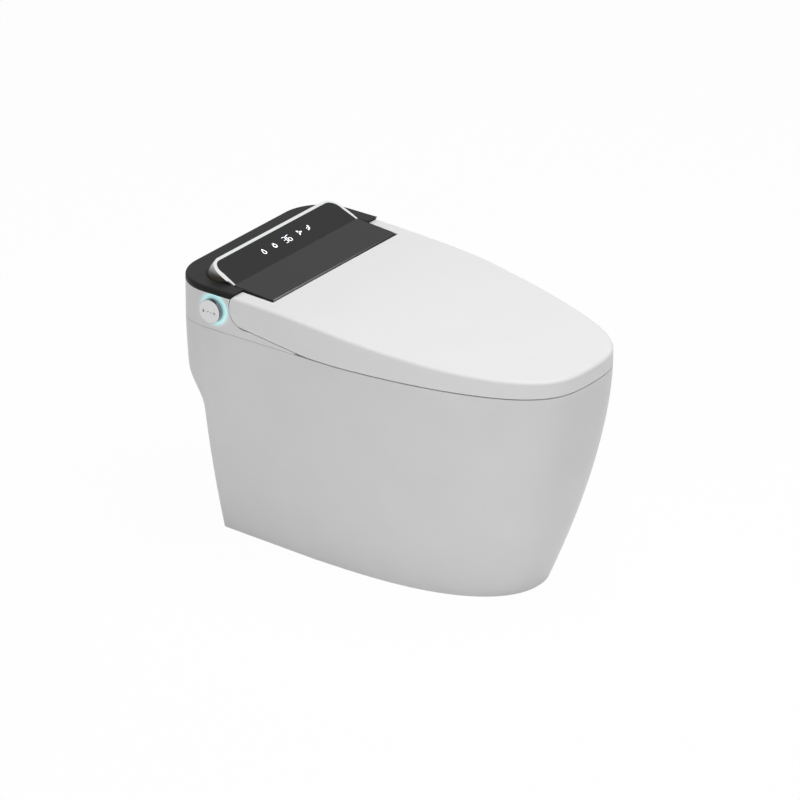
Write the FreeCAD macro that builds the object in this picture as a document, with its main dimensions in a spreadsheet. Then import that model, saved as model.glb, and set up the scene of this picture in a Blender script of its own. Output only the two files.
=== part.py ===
# Floor-standing smart toilet with a heated seat: a glazed china pan, a rear unit with
# the washing, drying and display parts, and a lid and a seat that turn on one axis.
#
# Frame: +Z up, the user sits facing -Y, and the origin is the centre of the waste
# outlet on the floor.  All sizes are millimetres.

import FreeCAD, Part
import math
import os
import re
import Sketcher
from FreeCAD import Placement, Rotation, Vector

# Driving sizes: each one is written here once.
SIZES = {
    # china pan
    "pan_w": 400,           # widest, at the rim
    "pan_len": 720,         # rear face to front tip
    "outlet_setback": 290,  # rear face to the outlet's centre
    "rim_z": 397,           # top of the china
    "rear_corner_r": 77,
    "widest_back": 330,     # rear face to where the front curve starts, at the rim
    "foot_w": 287,
    "foot_rear_w": 270,
    "foot_widest_back": 263,
    "foot_tip_back": 618,   # rear face to the front of the foot
    "overhang": 65,         # the deck reaches this far behind the foot
    "neck_low_z": 236,
    "neck_high_z": 318,
    "china_t": 12,
    "bowl_len": 365,
    "bowl_w": 260,
    "front_rim": 55,        # rim width at the front tip
    "sump_z": 100,
    "sump_len_share": 0.26,  # of the bowl's length
    "sump_w_share": 0.31,
    "sump_back": 80,        # the sump lies this far behind the bowl's middle
    "trap_r": 27,
    "trap_wall": 7,
    "trap_entry_z": 132,
    "weir_z": 200,
    "trap_pitch": 70,       # between the rising and the falling leg
    "bay_half_w": 88,       # nozzle bay behind the bowl
    "bay_slope": 28,        # degrees below the horizontal
    "bay_drop": 20,         # bay floor under the wands' axes
    "well_half_w": 135,     # opening in the deck under the rear unit
    "well_front_y": 146,
    "well_rear_y": 262,
    "bolt_r": 3,            # tray bolts, beside the well
    "bolt_out": 22,
    "bolt_back_out": 11,
    "bolt_front_y": 160,
    "bolt_back_y": 256,
    # rear unit
    "shell_t": 3,           # plastic wall
    "seam_z": 461,          # white housing below, black cover above
    "cover_h": 10,
    "cover_round": 5,
    "unit_gap": 1.5,        # between the unit and what turns past it
    "joint_h": 0.8,         # shadow line between the housing and the china
    "tray_t": 3,
    "gasket_t": 1,
    "tray_half_w": 166,
    "cheek_t": 5.5,         # forward wedge of the housing beside the seat
    "cheek_front_y": 25,
    "screw_r": 2,           # cover screws
    "screw_in": 15,
    "screw_front_y": 180,
    "screw_back_x": 120,
    # display
    "panel_half_w": 170,
    "panel_front_y": 92.5,
    "panel_front_z": 466,
    "crease_y": 172,
    "crease_z": 472,
    "ridge_y": 227,
    "ridge_z": 497.5,
    "ridge_half_w": 166,
    "ridge_corner_r": 24,
    "hood_foot_back_y": 253,
    "hood_foot_half_w": 173,
    "hood_foot_corner_r": 48,
    "hood_waist": 31,       # crease to where the hood's sides run straight back
    "window_half_w": 84,    # in the hood, behind the symbols
    "window_start": 12,
    "window_end": 42,
    "hatch_half_w": 150,    # in the housing's roof, under the hood
    "glass_t": 3,
    "glass_edge_r": 0.8,
    "strip_w": 5,           # chrome strip, along the back
    "strip_side_w": 2,
    # hinge axis, shared by the lid and the seat
    "hinge_y": 127,
    "hinge_z": 446,
    "arm_r": 33,            # rounded rear end of the lid's arms
    "arm_half_in": 172.5,   # inner faces of the lid's arms
    "barrel_r": 40,         # rounded front of the unit between the arms
    "shaft_r": 6,
    "fit": 0.05,            # radial clearance of a running fit
    "bush_t": 2,
    "drive_in": 100,        # hinge drives, from the middle
    "drive_len": 62,
    "drive_half_w": 21,
    "shaft_grip": 30,       # a shaft starts this far into its drive
    # lid
    "lid_t": 3,
    "lid_edge_z": 399,      # lower edge, front part
    "lid_flat_y": -20,      # the lower edge climbs behind this line
    "lid_bend_len": 45,
    "lid_edge_slope": 7.2,
    "lid_rear_z": 466,
    "lid_front_z": 427,
    "lid_swell": 3.6,       # side view of the top: an S about a straight line
    "lid_sag": 1.2,
    "lid_crown": 4,
    "lid_round": 6,
    "lid_liner_t": 2,
    "lid_liner_gap": 3,
    # seat
    "seat_inset": 7,
    "seat_rise": 4.5,       # under the seat, on its bumpers
    "seat_rear_y": 78,
    "seat_rear_z": 424,
    "seat_front_z": 415,
    "seat_wall": 3,
    "seat_hole_half_w": 105,
    "seat_hole_rear_y": -55,
    "seat_hole_front_y": -350,
    "seat_arm_in": 178,
    "seat_arm_t": 16,
    "seat_boss_r": 14,
    "foil_t": 0.6,
    "pad_r": 8,
    "sensor_y": -385,
    # knob
    "knob_y": 191,
    "knob_z": 435,
    "knob_r": 21,
    "knob_out": 14,
    "knob_travel": 2.5,
    "knob_ring_r": 26,
    "knob_shaft_r": 3,
    "knob_face_t": 2.6,
    "knob_wall": 2,
    "knob_stem": 24,        # inside the housing's side
    "plunger_t": 2,
    "encoder_half": 9,
    # bidet wands
    "wand_r": 7,
    "wand_bore_r": 4.5,
    "wand_x": 14,
    "wand_travel": 75,
    "wand_tip_y": 64,
    "wand_tip_z": 377,
    "gear_module": 1,
    "pinion_teeth": 18,
    "pinion_w": 6,
    "pinion_at": 52,        # along the wand from its tip
    "axle_r": 2.5,
    "axle_reach": 13,       # beyond the pinion
    "stepper_r": 11,
    "stepper_len": 12,
    "plate_t": 3,
    "cradle_start": 36,
    "cradle_end": 100,
    "cradle_foot": 14,      # length of its foot on the tray
    "jet_r": 0.8,
    "gear_slack": 0.3,      # backlash between a pinion and its rack
    # dryer
    "duct_x": -60,
    "duct_half_w": 20,
    "duct_half_h": 8,
    "duct_start": 18,       # along the bay from the wands' tips
    "duct_end": 100,
    "duct_wall": 2,
    "flap_t": 1.6,
    "flap_pin_r": 1,
    "element_at": 60,
    "element_len": 26,
    "blower_y": 192,
    "blower_r": 33,
    "blower_low_z": 408,
    "blower_h": 26,
    "fan_r": 27,
    "fan_blades": 11,
    # services
    "inlet_x": 95,
    "inlet_z": 200,
    "inlet_r": 10.48,       # G1/2 thread, outside
    "inlet_len": 16,
    "inlet_neck_r": 13,
    "gland_x": -95,
    "gland_bore_r": 4,
    "gland_r": 9,
    "gland_len": 26,
    "valve_half_h": 20,
    "riser_back": 14,       # riser to the inside of the foot's rear wall
    "flush_x": 112,
    "flush_z": 350,
    "flush_r": 9,
    "pump_y": 178,
    "pump_r": 28,
    "pump_len": 74,
    "hose_r": 6,
    "pipe_wall": 2,
    # cased units on the tray: near corner, width, length and height
    "box_wall": 2,
    "heater_x": 60,
    "heater_y": 175,
    "heater_w": 78,
    "heater_len": 87,
    "heater_h": 46,
    "heater_round": 10,
    "control_x": -160,
    "control_y": 170,
    "control_w": 60,
    "control_len": 70,
    "control_h": 32,
    "supply_x": -100,
    "supply_y": 233,
    "supply_w": 96,
    "supply_len": 45,
    "supply_h": 38,
    "filter_x": 44,
    "filter_y": 96,
    "filter_w": 48,
    "filter_len": 54,
    "filter_h": 38,
    "diverter_x": 14,
    "diverter_y": 193,
    "diverter_w": 28,
    "diverter_len": 26,
    "diverter_h": 30,
}

doc = FreeCAD.newDocument("smart_toilet")


def fill_sheet(name, cells):
    """Make a spreadsheet whose column B holds the cells under their aliases."""
    sheet = doc.addObject("Spreadsheet::Sheet", name)
    for row, (alias, value) in enumerate(cells.items(), 1):
        sheet.set("A%d" % row, alias)
        sheet.set("B%d" % row, str(value))
        sheet.setAlias("B%d" % row, alias)
    return sheet


# Worked-out places, as formulas of the driving sizes.
PLACES = {
    "half_w": "pan_w / 2",
    "rear_y": "outlet_setback",
    "tip_y": "rear_y - pan_len",
    "widest_y": "rear_y - widest_back",
    "foot_rear_y": "rear_y - overhang",
    "foot_tip_y": "rear_y - foot_tip_back",
    "foot_widest_y": "rear_y - foot_widest_back",
    "bowl_front_y": "tip_y + front_rim",
    "bowl_rear_y": "bowl_front_y + bowl_len",
    "deck_low_z": "rim_z - china_t",
    "tray_low_z": "rim_z + gasket_t",
    "tray_z": "tray_low_z + tray_t",
    "roof_z": "seam_z - shell_t",
    "cover_z": "seam_z + cover_h",
    "recess_r": "arm_r + unit_gap",
    "cutout_r": "barrel_r + unit_gap",
    "unit_front_y": "hinge_y - barrel_r",
    "inner_front_y": "unit_front_y + shell_t",
    "liner_out": "arm_half_in - unit_gap",
    "liner_in": "liner_out - shell_t",
    "hood_pitch": "(ridge_z - crease_z) / (ridge_y - crease_y)",
    "panel_pitch": "(crease_z - panel_front_z) / (crease_y - panel_front_y)",
    "arm_half_out": "half_w",
    "channel_in": "arm_half_in + lid_t",
    "channel_out": "half_w - lid_t",
    "seat_half_w": "half_w - seat_inset",
    "seat_low_z": "rim_z + seat_rise",
    "seat_split_z": "seat_low_z + seat_wall",
    "seat_arm_out": "seat_arm_in + seat_arm_t",
    "bush_r": "shaft_r + bush_t",
    "bore_r": "shaft_r + fit",
    "pitch_r": "gear_module * pinion_teeth / 2",
    "rack_line": "wand_r + 2 * gear_module",
    "wand_len": "pinion_at + wand_travel + pitch_r + 2",
    "plate_out": "wand_x + wand_r + 1",
    "axle_end": "wand_x + pinion_w / 2 + axle_reach",
    "cradle_foot_y": "wand_tip_y + cradle_end * cos_bay - cradle_foot",
    "drive_out": "drive_in + drive_len",
    "shaft_in": "drive_in + shaft_grip",
    "plunger_r": "knob_shaft_r + plunger_t",
    "cos_bay": "cos(bay_slope)",
    "sin_bay": "sin(bay_slope)",
}


def full(text):
    """Give each alias in a formula its sheet's name."""
    def prefixed(found):
        word = found.group(0)
        if word in SIZES:
            return "Sizes." + word
        if word in PLACES:
            return "Places." + word
        return word
    return re.sub(r"[a-z][a-z0-9_]*", prefixed, str(text))


sizes = fill_sheet("Sizes", SIZES)
doc.recompute()
places = fill_sheet("Places", {name: "=" + full(text) for name, text in PLACES.items()})
doc.recompute()


def val(name):
    """Read a size or a place from its sheet."""
    return float(getattr(sizes if name in SIZES else places, name))


# ---------------------------------------------------------------- helpers

FAR = 250    # beyond the object's width
NODES = []
SCRATCH_CELL = "D1"


def worked_out(formula):
    """Value of a formula of the sizes, worked out in a spare cell."""
    places.set(SCRATCH_CELL, "=" + full(formula))
    places.recompute()
    return float(places.get(SCRATCH_CELL))


def bind(obj, **formulas):
    """Tie properties to formulas of the sizes; a double underscore stands for a dot."""
    for prop, formula in formulas.items():
        obj.setExpression(prop.replace("__", "."), full(formula))
    return obj


def part_box(name, x, y, z):
    """Part box from its (low, high) formulas along each axis."""
    obj = doc.addObject("Part::Box", name)
    return bind(obj, Length="(%s) - (%s)" % (x[1], x[0]), Width="(%s) - (%s)" % (y[1], y[0]),
                Height="(%s) - (%s)" % (z[1], z[0]), Placement__Base__x=x[0],
                Placement__Base__y=y[0], Placement__Base__z=z[0])


AXES = {"X": Vector(1, 0, 0), "Y": Vector(0, 1, 0), "Z": Vector(0, 0, 1)}


def part_rod(name, axis, radius, ends, centre):
    """Part cylinder along an axis; centre holds its two other coordinates, in order."""
    obj = doc.addObject("Part::Cylinder", name)
    obj.Placement = Placement(Vector(), Rotation(AXES["Z"], AXES[axis]))
    place = dict(zip([letter for letter in "XYZ" if letter != axis], centre))
    place[axis] = ends[0]
    return bind(obj, Radius=radius, Height="(%s) - (%s)" % (ends[1], ends[0]),
                Placement__Base__x=place["X"], Placement__Base__y=place["Y"], Placement__Base__z=place["Z"])


def part_fuse(name, shapes):
    obj = doc.addObject("Part::MultiFuse", name)
    obj.Shapes = shapes
    return obj


def part_cut(name, base, tools):
    obj = doc.addObject("Part::Cut", name)
    obj.Base = base
    obj.Tool = tools[0] if len(tools) == 1 else part_fuse(name + "_cuts", tools)
    return obj


def plane_sketch(body, plane, name, offset="0"):
    """Sketch on one of a body's own origin planes, moved along its normal."""
    sketch = body.newObject("Sketcher::SketchObject", name)
    origin_plane = next(item for item in body.Origin.OriginFeatures if item.Role == plane)
    sketch.AttachmentSupport = [(origin_plane, "")]
    sketch.MapMode = "FlatFace"
    bind(sketch, AttachmentOffset__Base__z=offset)
    return sketch


def bound_loop(sketch, corners):
    """Closed polygon whose corners are pairs of formulas."""
    numbers = [[worked_out(formula) for formula in corner] for corner in corners]
    first = sketch.GeometryCount
    count = len(corners)
    for index, start in enumerate(numbers):
        end = numbers[(index + 1) % count]
        sketch.addGeometry(Part.LineSegment(Vector(*start, 0), Vector(*end, 0)))
    for index in range(count):
        following = first + (index + 1) % count
        sketch.addConstraint(Sketcher.Constraint("Coincident", first + index, 2, following, 1))
    for index, corner in enumerate(corners):
        for kind, axis, formula, number in zip(("DistanceX", "DistanceY"), (-2, -1), corner, numbers[index]):
            if number == 0:
                sketch.addConstraint(Sketcher.Constraint("PointOnObject", first + index, 1, axis))
                continue
            place = sketch.addConstraint(Sketcher.Constraint(kind, -1, 1, first + index, 1, number))
            sketch.setExpression("Constraints[%d]" % place, full(formula))


def bound_circle(sketch, x, y, radius):
    """Circle whose centre and radius are formulas."""
    centre = [worked_out(x), worked_out(y)]
    circle = sketch.addGeometry(Part.Circle(Vector(*centre, 0), Vector(0, 0, 1), worked_out(radius)))
    limits = [("DistanceX", -2, x, centre[0]), ("DistanceY", -1, y, centre[1])]
    for kind, axis, formula, number in limits:
        if number == 0:
            sketch.addConstraint(Sketcher.Constraint("PointOnObject", circle, 3, axis))
            continue
        place = sketch.addConstraint(Sketcher.Constraint(kind, -1, 1, circle, 3, number))
        sketch.setExpression("Constraints[%d]" % place, full(formula))
    place = sketch.addConstraint(Sketcher.Constraint("Radius", circle, worked_out(radius)))
    sketch.setExpression("Constraints[%d]" % place, full(radius))


def new_body(name):
    body = doc.addObject("PartDesign::Body", name)
    doc.recompute()
    return body


def padded_body(name, plane, low, high, corners=None, circle=None, holes=()):
    """Pad between two formulas along the plane's normal, with round holes right through."""
    body = new_body(name)
    sketch = plane_sketch(body, plane, name + "_outline", low)
    if corners:
        bound_loop(sketch, corners)
    if circle:
        bound_circle(sketch, *circle)
    for hole in holes:
        bound_circle(sketch, *hole)
    pad = body.newObject("PartDesign::Pad", name + "_pad")
    pad.Profile = sketch
    bind(pad, Length="(%s) - (%s)" % (high, low))
    return body


TURN_PLANES = {"X": ("XZ_Plane", "H_Axis"), "Y": ("YZ_Plane", "H_Axis"), "Z": ("XZ_Plane", "V_Axis")}


def turned_body(name, axis, corners, centre=("0", "0", "0")):
    """Body turned about an axis; corners are (along, radius) formulas."""
    body = new_body(name)
    plane, line = TURN_PLANES[axis]
    sketch = plane_sketch(body, plane, name + "_profile")
    bound_loop(sketch, [(r, a) for a, r in corners] if axis == "Z" else corners)
    turn = body.newObject("PartDesign::Revolution", name + "_turn")
    turn.Profile = sketch
    turn.ReferenceAxis = (sketch, [line])
    turn.Angle = 360
    return bind(body, Placement__Base__x=centre[0], Placement__Base__y=centre[1], Placement__Base__z=centre[2])


def in_bay(obj, x="0"):
    """Place an object drawn along Y into the sloping nozzle bay, its origin at the wands' tips."""
    obj.Placement = Placement(Vector(), Rotation(Vector(1, 0, 0), 28))
    return bind(obj, Placement__Base__x=x, Placement__Base__y="wand_tip_y", Placement__Base__z="wand_tip_z",
                Placement__Rotation__Angle="bay_slope")


def piece(obj, node=None):
    """Count an object as one of the product's pieces, under its own label."""
    if node:
        obj.Label = node
    NODES.append(obj)
    return obj


def shaped(node, shape):
    """Put a finished shape into the document as one piece."""
    obj = doc.addObject("Part::Feature", node)
    obj.Shape = shape
    return piece(obj, node)


def wire_yz(points, x=0.0):
    """Closed polygon in a plane of constant x, from (y, z) pairs."""
    corners = [Vector(x, y, z) for y, z in points]
    return Part.makePolygon(corners + corners[:1])


def prism_x(wire, x0, x1):
    """Solid swept along X from a closed wire that lies in the plane x = 0."""
    face = Part.Face(wire)
    face.translate(Vector(x0, 0, 0))
    return face.extrude(Vector(x1 - x0, 0, 0))


def block(x, y, z):
    """Box from its (low, high) limits along each axis."""
    return Part.makeBox(x[1] - x[0], y[1] - y[0], z[1] - z[0], Vector(x[0], y[0], z[0]))


def rod_x(radius, x0, x1, y, z):
    """Cylinder along X."""
    return Part.makeCylinder(radius, x1 - x0, Vector(x0, y, z), Vector(1, 0, 0))


def rod_y(radius, x, y0, y1, z):
    """Cylinder along Y."""
    return Part.makeCylinder(radius, y1 - y0, Vector(x, y0, z), Vector(0, 1, 0))


def rod_z(radius, x, y, z0, z1):
    """Cylinder along Z."""
    return Part.makeCylinder(radius, z1 - z0, Vector(x, y, z0), Vector(0, 0, 1))


def spread(start, end, pitch):
    """Places from start to end, one pitch apart."""
    return [start + pitch * step for step in range(int((end - start) / pitch) + 1)]


def both_sides(shape):
    """A shape and its mirror image across the middle plane."""
    return shape.fuse(shape.mirror(Vector(0, 0, 0), Vector(1, 0, 0)))


# ---------------------------------------------------------------- china pan

FRONT_STEPS = 14


def front_point(turn, half_w, widest_y, tip_y, power_x, power_y, z):
    """Point of the pan's front outline, a superellipse; turn runs from 0 to pi."""
    across = abs(math.cos(turn)) ** (2 / power_x)
    along = abs(math.sin(turn)) ** (2 / power_y)
    x = -math.copysign(half_w * across, math.cos(turn))
    return Vector(x, widest_y - (widest_y - tip_y) * along, z)


def outline(half_w, rear_half_w, rear_y, corner_r, widest_y, tip_y, powers, z):
    """Plan of the pan at one height: straight back, round rear corners, pointed front."""
    side_y = rear_y - corner_r
    back_x = rear_half_w - corner_r
    corner = corner_r * math.sqrt(0.5)
    edges = [Part.LineSegment(Vector(half_w, widest_y, z), Vector(rear_half_w, side_y, z)).toShape()]
    edges.append(Part.Arc(Vector(rear_half_w, side_y, z),
                          Vector(back_x + corner, side_y + corner, z),
                          Vector(back_x, rear_y, z)).toShape())
    edges.append(Part.LineSegment(Vector(back_x, rear_y, z), Vector(-back_x, rear_y, z)).toShape())
    edges.append(Part.Arc(Vector(-back_x, rear_y, z),
                          Vector(-back_x - corner, side_y + corner, z),
                          Vector(-rear_half_w, side_y, z)).toShape())
    edges.append(Part.LineSegment(Vector(-rear_half_w, side_y, z), Vector(-half_w, widest_y, z)).toShape())
    curve = Part.BSplineCurve()
    turns = [math.pi * step / FRONT_STEPS for step in range(FRONT_STEPS + 1)]
    points = [front_point(turn, half_w, widest_y, tip_y, *powers, z) for turn in turns]
    curve.interpolate(Points=points, InitialTangent=Vector(0, -1, 0), FinalTangent=Vector(0, 1, 0))
    edges.append(curve.toShape())
    return Part.Wire(edges)


# How the plan changes with height: 0 at the floor, 1 at the rim.
SIDE_BULGE = 1.6
TIP_BULGE = 1.56
FOOT_POWERS = (2.15, 2.9)
RIM_POWERS = (3.16, 1.5)


def pan_section(height, inset=0.0):
    """Plan of the pan at a share of its height, drawn in by inset."""
    side = 1 - (1 - height) ** SIDE_BULGE
    nose = 1 - (1 - height) ** TIP_BULGE

    def blend(low, high, share):
        return low + (high - low) * share

    powers = [blend(low, high, side) for low, high in zip(FOOT_POWERS, RIM_POWERS)]
    return outline(blend(val("foot_w") / 2, val("half_w"), side) - inset,
                   blend(val("foot_rear_w") / 2, val("half_w"), side) - inset,
                   val("rear_y") - inset,
                   val("rear_corner_r") - inset,
                   blend(val("foot_widest_y"), val("widest_y"), side),
                   blend(val("foot_tip_y"), val("tip_y"), nose) + inset,
                   powers,
                   height * val("rim_z"))


SECTIONS = 5


def pan_block(inset=0.0):
    """Solid block of the pan's outer shape."""
    return Part.makeLoft([pan_section(step / SECTIONS, inset) for step in range(SECTIONS + 1)], True)


def behind_foot(shift):
    """Space behind the foot and under the overhang, bounded by an S curve."""
    foot = val("foot_rear_y") - shift
    low = val("neck_low_z") + shift * 0.7
    high = val("neck_high_z") + shift
    far = val("rear_y") + 40
    curve = Part.BezierCurve()
    curve.setPoles([Vector(0, foot, low),
                    Vector(0, foot, low + (high - low) * 0.42),
                    Vector(0, foot + 0.35 * val("overhang"), low + (high - low) * 0.62),
                    Vector(0, val("rear_y") + 1, high)])
    edges = [curve.toShape()]
    corners = [Vector(0, val("rear_y") + 1, high), Vector(0, far, high),
               Vector(0, far, -10), Vector(0, foot, -10), Vector(0, foot, low)]
    edges += [Part.LineSegment(start, end).toShape() for start, end in zip(corners, corners[1:])]
    return prism_x(Part.Wire(edges), -FAR, FAR)


BOWL_STEPS = 4
BOWL_POWER = 1.5    # how late the bowl narrows on its way down
SUMP_POWER = 2.2    # how late it moves back


def bowl(grow=0.0, lift=0.0):
    """Inside of the bowl: ellipses from the rim to the sump, ever smaller and further back."""
    depth = val("rim_z") - val("sump_z") + grow
    middle = (val("bowl_front_y") + val("bowl_rear_y")) / 2
    rings = []
    for step in range(BOWL_STEPS + 1):
        down = step / BOWL_STEPS
        narrowing = down ** BOWL_POWER
        long_r = (1 - (1 - val("sump_len_share")) * narrowing) * val("bowl_len") / 2 + grow
        wide_r = (1 - (1 - val("sump_w_share")) * narrowing) * val("bowl_w") / 2 + grow
        y = middle + val("sump_back") * down ** SUMP_POWER
        z = val("rim_z") + lift - (depth + lift) * down
        rings.append(Part.Wire(Part.Ellipse(
            Vector(0, y - long_r, z), Vector(wide_r, y, z), Vector(0, y, z)).toShape()))
    return Part.makeLoft(rings, True)


def trap(radius, low_z):
    """Trapway: out of the sump, up over the weir and down to the outlet."""
    bend = val("trap_pitch") / 2
    rise_y = -val("trap_pitch")
    entry = val("trap_entry_z")
    elbow = bend + 5
    sump_y = (val("bowl_front_y") + val("bowl_rear_y")) / 2 + val("sump_back")
    turn = elbow * (1 - math.sqrt(0.5))

    def at(y, z):
        return Vector(0, y, z)

    path = Part.Wire([
        Part.LineSegment(at(sump_y, entry), at(rise_y - elbow, entry)).toShape(),
        Part.Arc(at(rise_y - elbow, entry), at(rise_y - turn, entry + turn), at(rise_y, entry + elbow)).toShape(),
        Part.LineSegment(at(rise_y, entry + elbow), at(rise_y, val("weir_z"))).toShape(),
        Part.Arc(at(rise_y, val("weir_z")), at(-bend, val("weir_z") + bend), at(0, val("weir_z"))).toShape(),
        Part.LineSegment(at(0, val("weir_z")), at(0, low_z)).toShape()])
    section = Part.Wire(Part.Circle(at(sump_y, entry), Vector(0, 1, 0), radius).toShape())
    return path.makePipeShell([section], True, False)


def nozzle_bay(half_w, floor_drop):
    """Sloping trough from the deck down into the bowl; the wands reach out along it."""
    slope = math.tan(math.radians(val("bay_slope")))
    front = val("bowl_rear_y") - 60
    tip = val("wand_tip_z") - floor_drop / val("cos_bay")
    top = val("rim_z") + 5
    low = tip + (front - val("wand_tip_y")) * slope
    back = front + (top - low) / slope
    return prism_x(wire_yz([(front, top), (front, low), (back, top)]), -half_w, half_w)


def china_pan():
    """Glazed china: skirt, rim, bowl, trapway and deck in one casting, open below."""
    wall = val("china_t")
    body = pan_block().cut(behind_foot(0))
    inner = pan_block(wall).cut(behind_foot(wall))
    inner = inner.common(block((-FAR, FAR), (-2 * FAR, 2 * FAR), (-5, val("deck_low_z"))))
    kept = bowl(wall).fuse([trap(val("trap_r") + val("trap_wall"), 0),
                            nozzle_bay(val("bay_half_w") + wall, val("bay_drop") + wall)])
    body = body.cut(inner.cut(kept))
    well = block((-val("well_half_w"), val("well_half_w")),
                 (val("well_front_y"), val("well_rear_y")),
                 (val("deck_low_z") - 1, val("rim_z") + 1))
    openings = [bowl(0, 1), trap(val("trap_r"), -1),
                nozzle_bay(val("bay_half_w"), val("bay_drop")), well]
    openings += [rod_z(val("bolt_r") + 0.3, x, y, val("deck_low_z") - 1, val("rim_z") + 1)
                 for x, y in tray_bolt_places()]
    back = val("foot_rear_y") + 1
    openings.append(rod_y(val("inlet_neck_r") + 0.3, val("inlet_x"), back - wall - 2, back, val("inlet_z")))
    openings.append(rod_y(val("gland_r") + 0.2, val("gland_x"), back - wall - 2, back, val("inlet_z")))
    openings.append(rod_y(val("flush_r") + 0.3, val("flush_x"), -180, -60, val("flush_z")))
    return body.cut(openings)


def tray_bolt_places():
    """Four bolts clamp the tray to the china deck, beside the well."""
    front, back = val("well_half_w") + val("bolt_out"), val("well_half_w") + val("bolt_back_out")
    return [(side * x, y) for x, y in ((front, val("bolt_front_y")), (back, val("bolt_back_y")))
            for side in (-1, 1)]


shaped("ceramic_body", china_pan())


# ---------------------------------------------------------------- shapes the unit and lid share

def plan_prism(z0, z1, inset=0.0):
    """Upright block of the rim's plan."""
    ring = pan_section(1, inset)
    ring.translate(Vector(0, 0, z0 - val("rim_z")))
    return Part.Face(ring).extrude(Vector(0, 0, z1 - z0))


def above_lid_edge(x0, x1, drop=0.0):
    """Everything above the lid's lower edge: level in front, then a bend, then a climb."""
    slope = math.radians(val("lid_edge_slope"))
    radius = val("lid_bend_len") / math.sin(slope)
    start = Vector(0, val("lid_flat_y"), val("lid_edge_z") - drop)
    half = start + Vector(0, radius * math.sin(slope / 2), radius * (1 - math.cos(slope / 2)))
    end = start + Vector(0, val("lid_bend_len"), radius * (1 - math.cos(slope)))
    far = val("hinge_y") + 2 * val("arm_r")
    high = val("ridge_z") + 20
    climb = Vector(0, far, end.z + (far - end.y) * math.tan(slope))
    front = val("tip_y") - 20
    corners = [climb, Vector(0, far, high), Vector(0, front, high), Vector(0, front, start.z), start]
    edges = [Part.Arc(start, half, end).toShape(), Part.LineSegment(end, climb).toShape()]
    edges += [Part.LineSegment(a, b).toShape() for a, b in zip(corners, corners[1:])]
    return prism_x(Part.Wire(edges), x0, x1)


def around_hinge(radius, x0, x1, low_z):
    """Space of an arm: a round end about the hinge axis and all that lies in front of it."""
    front = block((x0, x1), (val("tip_y") - 20, val("hinge_y")), (low_z, val("ridge_z") + 20))
    return rod_x(radius, x0, x1, val("hinge_y"), val("hinge_z")).fuse(front)


def slope_slab(front, back, low, high, x0, x1):
    """Slab under a line from front to back, both (y, z), between two depths below it."""
    return prism_x(wire_yz([(front[0], front[1] - low), (back[0], back[1] - low),
                            (back[0], back[1] - high), (front[0], front[1] - high)]), x0, x1)


def panel_line(extra_front=0.0):
    """Ends of the level stretch of the display in side view."""
    return ((val("panel_front_y") - extra_front, val("panel_front_z") - extra_front * val("panel_pitch")),
            (val("crease_y"), val("crease_z")))


def slope_line(extra_back=40.0):
    """Ends of the raised stretch of the display in side view."""
    return ((val("crease_y"), val("crease_z")),
            (val("ridge_y") + extra_back, val("ridge_z") + extra_back * val("hood_pitch")))


# ---------------------------------------------------------------- rear unit: casings

def rear_housing():
    """White housing with a recess for each lid arm and a forward wedge beside the seat."""
    wall = val("shell_t")
    cheek_x = val("half_w") - val("cheek_t")
    out = val("half_w") + 5
    low = val("rim_z") - 1
    recess_back = val("hinge_y") + val("recess_r") + wall
    body = plan_prism(val("rim_z"), val("seam_z"))
    body = body.common(block((-out, out), (val("cheek_front_y"), val("rear_y") + 1), (low, val("cover_z"))))

    def recess(grow):
        floor = val("tray_z") - grow
        deep = around_hinge(val("recess_r") + grow, val("liner_out") - grow, cheek_x, floor)
        shallow = above_lid_edge(cheek_x, out, val("unit_gap") + grow)
        shallow = shallow.common(around_hinge(val("recess_r") + grow, cheek_x, out, low))
        swing = rod_x(val("recess_r") + grow, cheek_x, out, val("hinge_y"), val("hinge_z"))
        return deep.fuse([shallow, swing])

    hollow = plan_prism(low, val("roof_z"), wall)
    hollow = hollow.common(block((-out, out), (val("inner_front_y"), val("rear_y")), (low, val("roof_z"))))
    hollow = hollow.cut(both_sides(recess(wall)))
    liner = block((val("liner_in"), val("liner_out")), (val("inner_front_y"), recess_back), (low, val("seam_z")))
    hollow = hollow.cut(both_sides(liner))
    barrel = rod_x(val("barrel_r") - wall - 0.3, -out, out, val("hinge_y"), val("hinge_z"))
    front = block((-val("liner_out") - 0.3, val("liner_out") + 0.3),
                  (val("inner_front_y") - 10, val("hinge_y")),
                  (val("hinge_z"), val("cover_z"))).cut(barrel)
    roof_front = block((-val("liner_out"), val("liner_out")),
                       (val("inner_front_y") - 10, val("hinge_y") + 5), (val("roof_z"), val("cover_z")))
    nose = block((-cheek_x, cheek_x), (val("tip_y"), val("inner_front_y") + 0.3), (low, val("cover_z")))
    hatch = block((-val("hatch_half_w"), val("hatch_half_w")), (val("crease_y") - 4, val("hood_foot_back_y") + 4),
                  (val("roof_z") - 1, val("seam_z") + 1))
    body = body.cut([both_sides(recess(0)), hollow, front, roof_front, nose, hatch])
    knob_hole = rod_x(val("knob_ring_r"), -out, -val("half_w") + wall + 1, val("knob_y"), val("knob_z"))
    shaft_holes = rod_x(val("shaft_r") + 0.5, -out, out, val("hinge_y"), val("hinge_z"))
    screw_holes = [rod_z(val("screw_r"), x, y, val("roof_z") - 1, val("seam_z") + 1)
                   for x, y in cover_screw_places()]
    joint_top = val("rim_z") + val("joint_h")
    joint = plan_prism(low, joint_top).cut(plan_prism(low, joint_top, wall / 2))
    return body.cut([knob_hole, shaft_holes, joint] + screw_holes)


def cover_screw_places():
    """Four screws hold the black cover down from inside."""
    front, back = val("half_w") - val("screw_in"), val("rear_y") - val("screw_in")
    return [(side * x, y) for x, y in ((front, val("screw_front_y")), (val("screw_back_x"), back))
            for side in (-1, 1)]


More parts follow.
